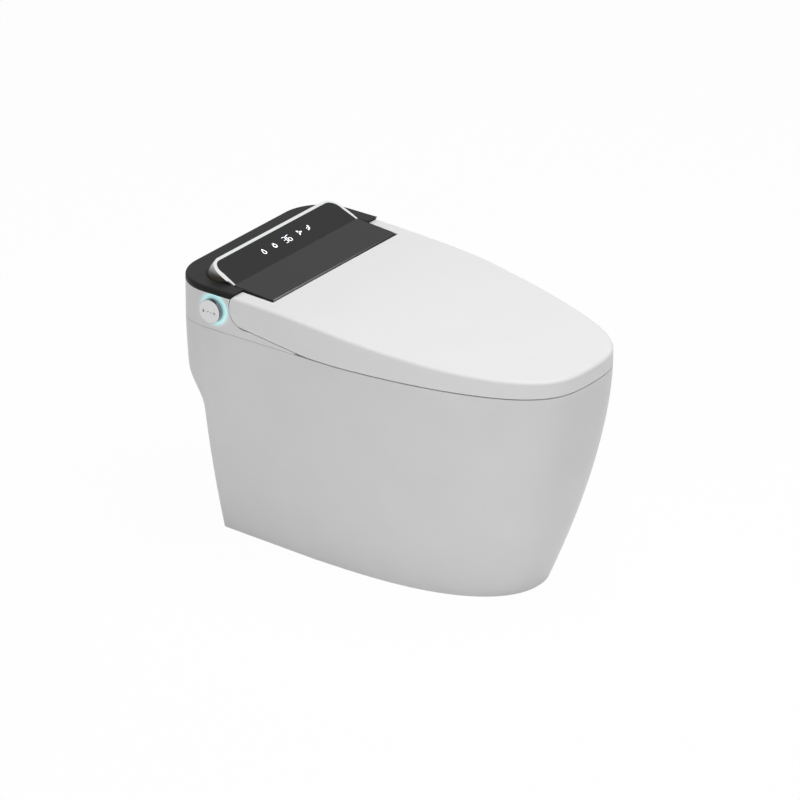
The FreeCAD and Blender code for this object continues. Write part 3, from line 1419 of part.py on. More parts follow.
def duct_parts():
    """Sloping air duct with side lugs in front that carry the flap."""
    sides = ("duct_x - duct_half_w", "duct_x + duct_half_w")
    inner = ("duct_x - duct_half_w + duct_wall", "duct_x + duct_half_w - duct_wall")
    top, low = "duct_half_h", "-duct_half_h"
    lug_low = "duct_half_h - 2.5 * duct_wall"
    tube = padded_body("duct_outside", "YZ_Plane", *sides, corners=[
        ("duct_start", low), ("duct_end", low), ("duct_end", top), ("duct_start", top)])
    lugs = padded_body("duct_lugs", "YZ_Plane", *sides, corners=[
        ("duct_start - 4", lug_low), ("duct_start + 1", lug_low),
        ("duct_start + 1", top), ("duct_start - 4", top)],
        holes=[("duct_start - flap_t", "duct_half_h - duct_wall", "flap_pin_r + fit")])
    bore = padded_body("duct_inside", "YZ_Plane", *inner, corners=[
        ("duct_start - 5", "-duct_half_h + duct_wall"), ("duct_end + 1", "-duct_half_h + duct_wall"),
        ("duct_end + 1", "duct_half_h - duct_wall"), ("duct_start", "duct_half_h - duct_wall"),
        ("duct_start", "duct_half_h + 1"), ("duct_start - 5", "duct_half_h + 1")])
    for body in (tube, lugs, bore):
        in_bay(body)
    piece(part_cut("dryer_duct", part_fuse("duct_walls", [tube, lugs]), [bore]))


def dryer_heater():
    """Heating element: fins across the duct on two side bars, with air gaps through them."""
    half_w = val("duct_half_w") - val("duct_wall")
    half_h = val("duct_half_h") - val("duct_wall")
    length = val("element_len")
    bar_w, fin_t, fin_pitch, gap_w = 3, 1, 5, 2
    bars = [block((x, x + bar_w), (0, length), (-half_h, half_h)) for x in (-half_w, half_w - bar_w)]
    fins = [block((-half_w, half_w), (fin_pitch * row + 2, fin_pitch * row + 2 + fin_t), (1 - half_h, half_h - 1))
            for row in range(int(length / fin_pitch))]
    gaps = [block((x, x + gap_w), (-1, length + 1), (2 - half_h, half_h - 2))
            for x in spread(bar_w + 1 - half_w, half_w - bar_w - gap_w, 2 * gap_w)]
    return bars[0].fuse(bars[1:] + fins).cut(gaps)


def dryer_flap():
    """Flap over the duct's mouth, on two stub pins."""
    half_w = val("duct_half_w") - val("duct_wall") - 0.3
    low, high = -val("duct_half_h"), val("duct_half_h") - val("duct_wall") + 0.7
    back = val("duct_start") - 0.5
    plate = block((-half_w, half_w), (back - val("flap_t"), back), (low, high))
    pins = rod_x(val("flap_pin_r"), -val("duct_half_w"), val("duct_half_w"),
                 val("duct_start") - val("flap_t"), val("duct_half_h") - val("duct_wall"))
    return plate.fuse(pins).removeSplitter()


def blower_housing():
    """Flat round blower casing with a neck to the duct, an inlet on top and three feet."""
    x, y, wall, radius = val("duct_x"), val("blower_y"), val("duct_wall"), val("blower_r")
    low = val("blower_low_z")
    high = low + val("blower_h")
    half_w, half_h = val("duct_half_w"), val("duct_half_h")

    def form(inset, mouth):
        drum = rod_z(radius - inset, x, y, low + inset, high - inset)
        neck = [bay_point(mouth, half_h - inset), bay_point(mouth, inset - half_h),
                (y - radius * 0.6, low + wall + inset), (y - radius * 0.6, high - wall - inset)]
        return drum.fuse(prism_x(wire_yz(neck), x - half_w + inset, x + half_w - inset))

    foot_r = 4
    foot_at = radius - 1.5 * foot_r
    feet = [rod_z(foot_r, x + foot_at * math.cos(turn), y + foot_at * math.sin(turn), val("tray_z"), low)
            for turn in (math.radians(90), math.radians(210), math.radians(330))]
    inlet = rod_z(radius / 2, x, y, high - wall - 1, high + 1)
    shaft_hole = rod_z(val("axle_r") + 0.5, x, y, low - 1, low + wall + 1)
    return form(0, val("duct_end")).fuse(feet).cut([form(wall, val("duct_end") - 1), inlet, shaft_hole])


def blower_impeller():
    """Wheel with curved blades, a hub and its shaft."""
    radius = val("fan_r")
    gap = 1.5
    low = val("blower_low_z") + val("duct_wall") + gap
    high = val("blower_low_z") + val("blower_h") - val("duct_wall") - gap
    bend_r, blade_t, blade_w, plate_t = 12, 1.2, 9, 1.5
    hub_r = 7
    body = rod_z(radius, 0, 0, low, low + plate_t).fuse([rod_z(hub_r, 0, 0, low, high - 4)])
    bend_x = radius - bend_r + 2
    blade = rod_z(bend_r, bend_x, 4, low, high).cut(rod_z(bend_r - blade_t, bend_x, 4, low - 1, high + 1))
    keep = rod_z(radius, 0, 0, low, high).cut(rod_z(radius - blade_w, 0, 0, low - 1, high + 1))
    blade = blade.common(keep).common(block((0, FAR), (0, FAR), (low, high)))
    blades = round(val("fan_blades"))
    wheel = []
    for index in range(blades):
        turned = blade.copy()
        turned.rotate(Vector(), Vector(0, 0, 1), 360 * index / blades)
        wheel.append(turned)
    shaft = rod_z(val("axle_r"), 0, 0, val("tray_z") + 2, high)
    return body.fuse(wheel + [shaft])


duct_parts()
placed_in_bay("dryer_heater", dryer_heater(), "duct_x", "element_at")
placed_in_bay("dryer_flap", dryer_flap(), "duct_x")
shaped("blower_housing", blower_housing())
impeller = shaped("blower_impeller", blower_impeller())
bind(impeller, Placement__Base__x="duct_x", Placement__Base__y="blower_y")
piece(turned_body("blower_motor", "Z", [
    ("tray_z", "0"), ("tray_z + 2", "0"), ("tray_z + 2", "axle_r + fit"), ("blower_low_z", "axle_r + fit"),
    ("blower_low_z", "15"), ("tray_z", "15")], ("duct_x", "blower_y", "0")))


# ---------------------------------------------------------------- services

def service_boxes():
    """Plain cased units that stand on the tray."""
    heater = tray_box("heater")
    tank = doc.addObject("Part::Fillet", "heater_tank")
    tank.Base = heater
    doc.recompute()
    upper = val("tray_z") + val("heater_h") - 1
    tank.Edges = [(number, val("heater_round"), val("heater_round"))
                  for number, edge in enumerate(heater.Shape.Edges, 1) if edge.BoundBox.ZMax > upper]
    piece(tank, "water_heater")

    inside = part_box("control_inside", ("control_x + box_wall", "control_x + control_w - box_wall"),
                      ("control_y + box_wall", "control_y + control_len - box_wall"),
                      ("tray_z + box_wall", "tray_z + control_h + 1"))
    piece(part_cut("control_box", tray_box("control"), [inside]))

    vents = [part_box("supply_vent_%d" % row,
                      ("supply_x + supply_w * %d / 15" % (2 * row + 1), "supply_x + supply_w * %d / 15" % (2 * row + 2)),
                      ("supply_y + 1", "supply_y + supply_len - 1"),
                      ("tray_z + supply_h - box_wall", "tray_z + supply_h + 1")) for row in range(7)]
    piece(part_cut("power_supply", tray_box("supply"), vents))

    slot = part_box("deodoriser_slot", ("filter_x + 3 * box_wall", "filter_x + filter_w - 3 * box_wall"),
                    ("filter_y + filter_len / 4", "filter_y + filter_len - 3 * box_wall"),
                    ("tray_z + filter_h - 2 * box_wall", "tray_z + filter_h + 1"))
    intake = part_rod("deodoriser_intake", "Y", "filter_w / 5", ("filter_y - 1", "filter_y + 4 * box_wall"),
                      ("filter_x + filter_w / 2", "tray_z + filter_h / 2"))
    piece(part_cut("deodoriser", tray_box("filter"), [slot, intake]))

    tails = [part_rod("diverter_tail_%d" % quarter, "Z", "hose_r - 2.5",
                      ("tray_z + diverter_h - 1", "tray_z + diverter_h + hose_r"),
                      ("diverter_x + diverter_w * %d / 4" % quarter, "diverter_y + diverter_len / 2"))
             for quarter in (1, 3)]
    piece(part_fuse("diverter_valve", [tray_box("diverter")] + tails))


def tray_box(unit):
    """Case of a unit that stands on the tray, from the unit's own sizes."""
    return part_box(unit + "_case", (unit + "_x", "%s_x + %s_w" % (unit, unit)),
                    (unit + "_y", "%s_y + %s_len" % (unit, unit)), ("tray_z", "tray_z + %s_h" % unit))


def control_board():
    """Printed board on four posts, with its largest parts."""
    wall, post = val("box_wall"), 5
    x0, x1 = val("control_x") + wall + 1, val("control_x") + val("control_w") - wall - 1
    y0, y1 = val("control_y") + wall + 1, val("control_y") + val("control_len") - wall - 1
    low = val("tray_z") + wall
    top = low + post + 1.6
    posts = [rod_z(2, x, y, low, low + post) for x in (x0 + 3, x1 - 3) for y in (y0 + 3, y1 - 3)]
    plate = block((x0, x1), (y0, y1), (low + post, top))
    blocks = [block((x, x + 11), (y0 + 7, y0 + 22), (top, top + 11.4)) for x in spread(x0 + 7, x1 - 5, 15)]
    cans = [rod_z(4.5, x, y1 - 15, top, top + 13.4) for x in spread(x0 + 9, x1 - 5, 12)]
    return plate.fuse(posts + blocks + cans)


def inlet_parts():
    """Water inlet through the foot's rear wall: valve inside, nut and thread outside."""
    x, z, back = val("inlet_x"), val("inlet_z"), val("foot_rear_y")
    inner = back - val("china_t")
    half_h, depth = val("valve_half_h"), 2 * val("riser_back")
    body = block((x - 28, x + 16), (inner - depth, inner), (z - half_h, z + half_h))
    coil = rod_z(9, x - 18, inner - depth / 2, z + half_h - 1, z + half_h + 24)
    neck = rod_y(val("inlet_neck_r"), x, inner - 1, back + 7, z)
    thread = rod_y(val("inlet_r"), x, back + 6, back + 7 + val("inlet_len"), z)
    bore = rod_y(val("hose_r"), x, inner - 10, back + 8 + val("inlet_len"), z)
    shaped("inlet_valve", body.fuse([coil, neck, thread]).cut(bore).removeSplitter())


def water_pipes():
    """Riser from the inlet valve to the heater, and the heater's pipe to the diverter."""
    centre = ("inlet_x", "foot_rear_y - china_t - riser_back")
    riser = padded_body("riser_pipe", "XY_Plane", "inlet_z + valve_half_h", "tray_z",
                        circle=centre + ("hose_r",), holes=[centre + ("hose_r - pipe_wall",)])
    feed = part_rod("heater_pipe", "X", "hose_r - 1", ("diverter_x + diverter_w", "heater_x"),
                    ("diverter_y + diverter_len / 2", "tray_z + diverter_h * 2 / 3"))
    pair = doc.addObject("Part::Compound", "water_pipes")
    pair.Links = [riser, feed]
    piece(pair)


def hexagon(across, x, y0, y1, z):
    """Hexagonal block along Y."""
    radius = across / math.sqrt(3)
    corners = [Vector(x + radius * math.cos(math.radians(60 * step)), y0,
                      z + radius * math.sin(math.radians(60 * step))) for step in range(6)]
    return Part.Face(Part.makePolygon(corners + corners[:1])).extrude(Vector(0, y1 - y0, 0))


def gland_parts():
    """Cord gland beside the inlet, with the sleeve that guides the cord outside it."""
    x, z, back = val("gland_x"), val("inlet_z"), val("foot_rear_y")
    inner = back - val("china_t")
    end = inner + val("gland_len")
    body = rod_y(val("gland_r") + 4, x, inner - 4, inner, z).fuse(
        [rod_y(val("gland_r"), x, inner - 1, back + 8, z), rod_y(val("gland_r") - 2, x, back + 7, end, z)])
    shaped("power_gland", body.cut(rod_y(val("gland_bore_r"), x, inner - 5, end + 1, z)).removeSplitter())


def wall_nuts():
    """Nuts outside the foot's rear wall that hold the inlet valve and the gland."""
    z, back = val("inlet_z"), val("foot_rear_y")
    nuts = []
    for x, radius in ((val("inlet_x"), val("inlet_neck_r")), (val("gland_x"), val("gland_r"))):
        nut = hexagon(2 * radius + 9, x, back, back + 6, z)
        nuts.append(nut.cut(rod_y(radius, x, back - 1, back + 7, z)))
    return Part.makeCompound(nuts)


def bent_pipe(points, radius, bore, bend):
    """Pipe through points with rounded corners."""
    edges = []
    start = points[0]
    for corner, after in zip(points[1:], points[2:]):
        into = (corner - start).normalize()
        away = (after - corner).normalize()
        near, far = corner - into * bend, corner + away * bend
        middle = corner - (into - away) * bend * (1 - math.sqrt(0.5))
        edges.append(Part.LineSegment(start, near).toShape())
        edges.append(Part.Arc(near, middle, far).toShape())
        start = far
    edges.append(Part.LineSegment(start, points[-1]).toShape())
    path = Part.Wire(edges)
    direction = points[1] - points[0]
    solids = []
    for size in (radius, bore):
        ring = Part.Wire(Part.Circle(points[0], direction, size).toShape())
        solids.append(path.makePipeShell([ring], True, False))
    return solids[0].cut(solids[1])


def flush_pump():
    """Pump for the jet flush, hung from the tray through the deck's well."""
    y, z, radius = val("pump_y"), val("flush_z"), val("pump_r")
    front, back = -6, -6 - val("pump_len")
    middle = (front + back) / 2
    body = rod_x(radius, back, front, y, z).fuse([
        rod_x(val("flush_r") + 3, front - 4, front + 20, y, z),
        block((middle - 20, middle + 20), (y - 12, y + 12), (z + radius - 8, val("tray_low_z")))])
    return body.cut(rod_x(val("flush_r") + val("fit"), front + 2, front + 21, y, z))


def flush_pipe():
    """Pipe from the pump to the bowl's wall."""
    y, z = val("pump_y"), val("flush_z")
    points = [Vector(-4, y, z), Vector(val("flush_x"), y, z), Vector(val("flush_x"), -102, z)]
    return bent_pipe(points, val("flush_r"), val("flush_r") - val("pipe_wall"), 30)


def display_inside():
    """Light module under the slanted glass, on its board."""
    half = val("window_half_w") - 0.5
    start, end = val("crease_y") + val("window_start") + 0.5, val("crease_y") + val("window_end") - 0.5
    low, depth, board_t = val("roof_z") - 20, 10, 1.6
    module = slope_slab(*slope_line(), val("glass_t"), depth, -half, half)
    module = module.common(block((-half, half), (start, end), (low, val("ridge_z"))))
    half += 8.5
    board = slope_slab(*slope_line(), depth, depth + board_t, -half, half)
    board = board.common(block((-half, half), (start - 4, end + 4), (low, val("ridge_z"))))
    shaped("display_module", module.fuse(board))


service_boxes()
shaped("control_board", control_board())
inlet_parts()
gland_parts()
water_pipes()
shaped("wall_nuts", wall_nuts())
shaped("flush_pump", flush_pump())
shaped("flush_pipe", flush_pipe())
display_inside()
piece(part_box("night_light", ("-20", "20"), ("unit_front_y - 0.8", "unit_front_y"),
               ("tray_z + 7", "tray_z + 11")))
piece(turned_body("outlet_seal", "Z", [
    ("0", "trap_r + trap_wall"), ("14", "trap_r + trap_wall"), ("14", "trap_r + trap_wall + 6"),
    ("0", "trap_r + trap_wall + 12")]))
piece(part_rod("seat_sensor", "Z", "pad_r", ("seat_split_z", "seat_split_z + 4"), ("0", "sensor_y")))


# ---------------------------------------------------------------- check and export

doc.recompute()
broken = [obj.Name for obj in doc.Objects if "Invalid" in obj.State or "Error" in obj.State]
broken += [obj.Label for obj in NODES if obj.Shape.isNull() or not obj.Shape.isValid()]
if broken:
    raise RuntimeError("unsound objects: " + ", ".join(broken))
os.makedirs("parts", exist_ok=True)
for obj in NODES:
    obj.Shape.exportStep("parts/%s.step" % obj.Label)
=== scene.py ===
import math

import bpy
from mathutils import Matrix, Vector


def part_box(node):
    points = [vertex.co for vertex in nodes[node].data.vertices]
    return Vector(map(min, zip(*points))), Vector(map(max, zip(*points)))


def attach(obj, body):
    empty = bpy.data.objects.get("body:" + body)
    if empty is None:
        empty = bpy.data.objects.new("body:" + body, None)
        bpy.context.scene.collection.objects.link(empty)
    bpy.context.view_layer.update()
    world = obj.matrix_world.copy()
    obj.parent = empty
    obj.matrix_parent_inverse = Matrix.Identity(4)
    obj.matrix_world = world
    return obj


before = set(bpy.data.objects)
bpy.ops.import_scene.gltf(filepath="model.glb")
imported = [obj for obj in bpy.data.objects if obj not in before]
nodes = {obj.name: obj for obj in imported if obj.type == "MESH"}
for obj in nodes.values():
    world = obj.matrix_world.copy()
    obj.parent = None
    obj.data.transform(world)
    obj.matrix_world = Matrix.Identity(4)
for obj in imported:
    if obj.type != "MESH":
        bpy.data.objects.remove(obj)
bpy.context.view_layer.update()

MM = 0.001


# ---------------------------------------------------------------- colours and node helper

def linear(hex_colour):
    """sRGB hex to a linear RGBA colour."""
    parts = [int(hex_colour[i:i + 2], 16) / 255 for i in (1, 3, 5)]
    return [c / 12.92 if c <= 0.04045 else ((c + 0.055) / 1.055) ** 2.4 for c in parts] + [1.0]


def add(tree, kind, sockets=None, **settings):
    """Add one shader node with its settings, and its sockets' values or links."""
    node = tree.nodes.new(kind)
    for name, value in settings.items():
        setattr(node, name, value)
    for socket, value in (sockets or {}).items():
        if isinstance(value, bpy.types.NodeSocket):
            tree.links.new(value, node.inputs[socket])
        else:
            node.inputs[socket].default_value = value
    return node


def start_material(name, colour, roughness, **shader):
    """Material with a Principled shader at its base values; returns what patterns build on."""
    material = bpy.data.materials.new(name)
    material.use_nodes = True
    tree = material.node_tree
    surface = tree.nodes["Principled BSDF"]
    surface.inputs["Base Color"].default_value = linear(colour)
    surface.inputs["Roughness"].default_value = roughness
    for socket, value in shader.items():
        surface.inputs[socket.replace("_", " ")].default_value = value
    place = add(tree, "ShaderNodeTexCoord").outputs["Object"]
    return material, tree, surface, place


def blot_scale(size_mm):
    """Noise scale at which one blot is about this wide."""
    return 1 / (size_mm * MM)


def groove_scale(size_mm):
    """Wave scale at which one groove is this wide: the pattern's phase is 20 times its scaled place."""
    return math.tau / (20 * size_mm * MM)


def blend_shades(tree, surface, factor, low, high):
    """Colour the surface between two shades, as a pattern's factor says."""
    blend = add(tree, "ShaderNodeMix", {"Factor": factor}, data_type="RGBA")
    # the colour sockets of a Mix node share their names with its float ones, so they are found by type
    shades = [socket for socket in blend.inputs if socket.type == "RGBA"]
    shades[0].default_value = linear(low)
    shades[1].default_value = linear(high)
    blended = next(socket for socket in blend.outputs if socket.type == "RGBA")
    tree.links.new(blended, surface.inputs["Base Color"])


def tint(tree, surface, place, low, high, size_mm):
    """Let the colour wander between two close shades in blots of a real size."""
    blots = add(tree, "ShaderNodeTexNoise", {"Vector": place, "Scale": blot_scale(size_mm)})
    blend_shades(tree, surface, blots.outputs["Fac"], low, high)


def grain(tree, surface, place, size_mm, depth_mm, detail=2.0):
    """Raise the surface in grains of a real size and depth."""
    grains = add(tree, "ShaderNodeTexNoise",
                 {"Vector": place, "Scale": blot_scale(size_mm), "Detail": detail})
    bump = add(tree, "ShaderNodeBump", {"Height": grains.outputs["Fac"], "Distance": depth_mm * MM})
    tree.links.new(bump.outputs["Normal"], surface.inputs["Normal"])


def grooves(tree, surface, place, size_mm, depth_mm, strength, wander=0.0, **settings):
    """Raise the surface in grooves of a real width and depth; wander bends their lines."""
    lines = add(tree, "ShaderNodeTexWave",
                {"Vector": place, "Scale": groove_scale(size_mm), "Distortion": wander}, **settings)
    bump = add(tree, "ShaderNodeBump",
               {"Height": lines.outputs["Fac"], "Distance": depth_mm * MM, "Strength": strength})
    tree.links.new(bump.outputs["Normal"], surface.inputs["Normal"])


def gloss_range(tree, surface, place, low, high, size_mm):
    """Let the roughness wander between two values."""
    blots = add(tree, "ShaderNodeTexNoise",
                {"Vector": place, "Scale": blot_scale(size_mm), "Detail": 3.0})
    span = add(tree, "ShaderNodeMapRange", {"Value": blots.outputs["Fac"], "To Min": low, "To Max": high})
    tree.links.new(span.outputs["Result"], surface.inputs["Roughness"])


def glow_round_knob(tree, surface, place, near_mm, far_mm, near_power, far_power, **settings):
    """Let the surface shine with a power that goes by its distance from the ring light's middle."""
    low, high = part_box("knob_light_ring")
    away = add(tree, "ShaderNodeVectorMath", {0: place, 1: (low + high) / 2}, operation="DISTANCE")
    power = add(tree, "ShaderNodeMapRange",
                {"Value": away.outputs["Value"], "From Min": near_mm * MM, "From Max": far_mm * MM,
                 "To Min": near_power, "To Max": far_power}, **settings)
    tree.links.new(power.outputs["Result"], surface.inputs["Emission Strength"])


# ---------------------------------------------------------------- materials

def fired_glaze():
    """Vitreous china, sprayed with satin glaze and fired: a soft sheen over a faint orange peel."""
    material, tree, surface, place = start_material("Fired satin glaze on china", "#e4e4e4", roughness=0.36,
                                                    Specular_IOR_Level=0.25)
    tint(tree, surface, place, "#e1e1e1", "#e7e7e7", size_mm=90)
    grain(tree, surface, place, size_mm=6, depth_mm=0.05)
    return material


def moulded_white():
    """White ABS housing: satin like the glaze, with a painted glow of the ring light's spill round the
    knob.
    """
    material, tree, surface, place = start_material("Moulded white ABS", "#e7e7e7", roughness=0.34,
                                                    Specular_IOR_Level=0.25,
                                                    Emission_Color=linear("#7fd8dc"))
    tint(tree, surface, place, "#e5e5e5", "#e9e9e9", size_mm=60)
    grain(tree, surface, place, size_mm=2.5, depth_mm=0.01)
    # painted light: the housing itself glows cyan round the knob, in the emission colour above, for the
    # light the ring throws on it
    glow_round_knob(tree, surface, place, near_mm=25.5, far_mm=35,
                    near_power=0.3, far_power=0.0, interpolation_type="SMOOTHERSTEP")
    return material


def moulded_lid():
    """White satin urea lid: the brightest white of the object, faintly rippled by its mould."""
    material, tree, surface, place = start_material("Moulded white urea lid", "#ececec", roughness=0.38,
                                                    Specular_IOR_Level=0.22)
    tint(tree, surface, place, "#eaeaea", "#eeeeee", size_mm=120)
    grain(tree, surface, place, size_mm=3, depth_mm=0.012)
    return material


def moulded_seat():
    """Warm seat of the same resin, satin where skin touches it."""
    material, tree, surface, place = start_material("Moulded satin seat resin", "#e9e9e8", roughness=0.38,
                                                    Coat_Weight=0.1, Coat_Roughness=0.3)
    tint(tree, surface, place, "#e8e8e6", "#eeeeec", size_mm=70)
    grain(tree, surface, place, size_mm=1.2, depth_mm=0.01)
    return material


def black_satin():
    """Black ABS with a fine spark-eroded texture, which dulls its highlights.

    The texture is drawn coarser than it is, so that it shows.
    """
    material, tree, surface, place = start_material("Spark-textured black ABS", "#202020", roughness=0.5,
                                                    Specular_IOR_Level=0.12)
    tint(tree, surface, place, "#1d1d1d", "#242423", size_mm=25)
    grain(tree, surface, place, size_mm=1.0, depth_mm=0.02, detail=4)
    return material


def printed_glass():
    """Tempered cover glass, black from the print behind it, with a painted highlight along its front edge.
    """
    material, tree, surface, place = start_material("Black printed cover glass", "#303031", roughness=0.16,
                                                    Specular_IOR_Level=0.09)
    low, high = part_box("display_glass")
    highlight_full_to = low.y + 0.5 * MM
    highlight_gone_from = low.y + 1.0 * MM
    spot = add(tree, "ShaderNodeSeparateXYZ", {"Vector": place})
    # painted highlight: the base colour turns light grey along the front edge of the glass
    edge = add(tree, "ShaderNodeMapRange",
               {"Value": spot.outputs["Y"], "From Min": highlight_full_to, "From Max": highlight_gone_from,
                "To Min": 0.6, "To Max": 0.0})
    # the painted highlight is brightest on the knob's side and fades along the panel
    fade = add(tree, "ShaderNodeMapRange",
               {"Value": spot.outputs["X"], "From Min": low.x, "From Max": high.x,
                "To Min": 1.0, "To Max": 0.1})
    share = add(tree, "ShaderNodeMath", {0: edge.outputs["Result"], 1: fade.outputs["Result"]},
                operation="MULTIPLY")
    blend_shades(tree, surface, share.outputs[0], "#303031", "#c2c2c2")
    gloss_range(tree, surface, place, low=0.14, high=0.24, size_mm=35)
    return material


def silver_plate():
    """Vapour-coated silver of the hood, darkened at its foot on the black cover by a painted reflection of
    the cover.
    """
    material, tree, surface, place = start_material("Vapour-coated silver on ABS", "#9c9ea1", roughness=0.2,
                                                    Metallic=1.0)
    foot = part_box("display_hood")[0].z
    # painted reflection: the base colour darkens to brownish black towards the hood's foot, for the black
    # cover mirrored there
    cover_reflection_to = foot + 6 * MM
    bright_from = foot + 20 * MM
    spot = add(tree, "ShaderNodeSeparateXYZ", {"Vector": place})
    fade = add(tree, "ShaderNodeMapRange",
               {"Value": spot.outputs["Z"], "From Min": cover_reflection_to, "From Max": bright_from},
               interpolation_type="SMOOTHSTEP")
    blend_shades(tree, surface, fade.outputs["Result"], "#35322c", "#9c9ea1")
    grain(tree, surface, place, size_mm=6, depth_mm=0.01)
    return material


def bright_chrome():
    """Chrome plate on ABS: a near mirror with the slight waviness of the moulding under it."""
    material, tree, surface, place = start_material("Chrome plate on ABS", "#e9eaeb", roughness=0.09,
                                                    Metallic=1.0)
    gloss_range(tree, surface, place, low=0.06, high=0.14, size_mm=12)
    grain(tree, surface, place, size_mm=9, depth_mm=0.02)
    return material


def grip_metal():
    """Chrome of the knob's rim, brushed round it, its colour darkened as a painted reflection of dark
    surroundings, so it stays darker than the lit ring.

    Real brush lines are too fine to show, so they are drawn 1.2 mm wide.
    """
    # painted reflection: the chrome is set to a mid-grey, darker than it is, for the dark surroundings it
    # mirrors
    material, tree, surface, place = start_material("Brushed chrome with painted dark reflections", "#8e9093", roughness=0.22,
                                                    Metallic=1.0)
    tint(tree, surface, place, "#7d7f82", "#9b9da0", size_mm=4)
    grooves(tree, surface, place, size_mm=1.2, depth_mm=0.01, strength=0.5, bands_direction="X")
    return material


def pearl_face():
    """Pearl lacquer on the knob's face, spun in rings, so the light fans out on it.

    Real rings are too fine to show, so they are drawn 8 mm wide.
    """
    material, tree, surface, place = start_material("Pearl lacquer, spun", "#f8f8f9", roughness=0.32)
    low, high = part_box("knob_cap")
    centred = add(tree, "ShaderNodeMapping", {"Vector": place, "Location": -(low + high) / 2})
    grooves(tree, surface, centred.outputs["Vector"], size_mm=8.0, depth_mm=0.02, strength=0.5,
            wave_type="RINGS", rings_direction="X")
    tint(tree, surface, place, "#f6f6f7", "#fafafb", size_mm=5)
    return material


def lit_ring():
    """Frosted polycarbonate light guide, lit cyan from behind, brightest at its outer rim."""
    material, tree, surface, place = start_material("Frosted light guide", "#c9e6e8", roughness=0.4,
                                                    Emission_Color=linear("#a6e6ea"))
    glow_round_knob(tree, surface, place, near_mm=12, far_mm=26, near_power=0.15, far_power=0.5)
    return material


def lit_symbol():
    """White light through the clear windows of the print."""
    material, tree, surface, place = start_material("Lit clear print window", "#f4f6f8", roughness=0.3,
                                                    Emission_Color=linear("#f6f9ff"))
    blots = add(tree, "ShaderNodeTexNoise", {"Vector": place, "Scale": blot_scale(3.0)})
    power = add(tree, "ShaderNodeMapRange", {"Value": blots.outputs["Fac"], "To Min": 0.8, "To Max": 1.0})
    tree.links.new(power.outputs["Result"], surface.inputs["Emission Strength"])
    return material


def printed_mark():
    """Grey pad print on the knob's face: flat ink with a slightly broken edge."""
    material, tree, surface, place = start_material("Grey pad print", "#77797c", roughness=0.5)
    tint(tree, surface, place, "#6d6f72", "#83858a", size_mm=1.5)
    return material


def soft_lens():
    """Frosted night-light lens, unlit by day."""
    material, tree, surface, place = start_material("Frosted acrylic lens", "#e6eef0", roughness=0.35,
                                                    Transmission_Weight=0.4)
    grain(tree, surface, place, size_mm=0.8, depth_mm=0.02)
    return material


def plain_plastic(name, colour, shade_low, shade_high, roughness, pit_mm=1.0):
    """Plain moulded plastic or rubber with a fine mould grain: dull, even and slightly mottled."""
    material, tree, surface, place = start_material(name, colour, roughness)
    tint(tree, surface, place, shade_low, shade_high, size_mm=20)
    grain(tree, surface, place, size_mm=pit_mm, depth_mm=0.02, detail=3)
    return material


def pressed_rubber():
    """Moulded rubber: dark, soft, almost without highlight."""
    return plain_plastic("Moulded rubber", "#2c2c2d", "#262627", "#343435", roughness=0.8, pit_mm=0.8)


def pad_rubber():
    """Light grey silicone pads, slightly translucent."""
    material, tree, surface, place = start_material("Grey silicone", "#bfc1c2", roughness=0.55,
                                                    Subsurface_Weight=0.2, Subsurface_Scale=2 * MM)
    tint(tree, surface, place, "#b8babb", "#c8cacb", size_mm=8)
    grain(tree, surface, place, size_mm=0.8, depth_mm=0.02)
    return material


def machined_metal(name, colour, shade_low, shade_high, roughness, groove_mm):
    """Turned, rolled or plated metal: its tool lines stretch the highlights.

    Real lines are too fine to show, so each metal gives them as wide as they need to be.
    """
    material, tree, surface, place = start_material(name, colour, roughness, Metallic=1.0)
    tint(tree, surface, place, shade_low, shade_high, size_mm=6)
    grooves(tree, surface, place, size_mm=groove_mm, depth_mm=0.01, strength=0.6, wander=1.5)
    return material


def solder_mask():
    """Green solder mask over copper: lighter lines show where the copper runs."""
    material, tree, surface, place = start_material("Green solder mask", "#14472e", roughness=0.3)
    # a brick is half as long as the pattern's unit, so each field is 6 mm long
    cells = add(tree, "ShaderNodeTexBrick",
                {"Vector": place, "Scale": blot_scale(12.0), "Color1": linear("#12402a"),
                 "Color2": linear("#1a5236"), "Mortar": linear("#3c7a55"), "Mortar Size": 0.03})
    tree.links.new(cells.outputs["Color"], surface.inputs["Base Color"])
    return material


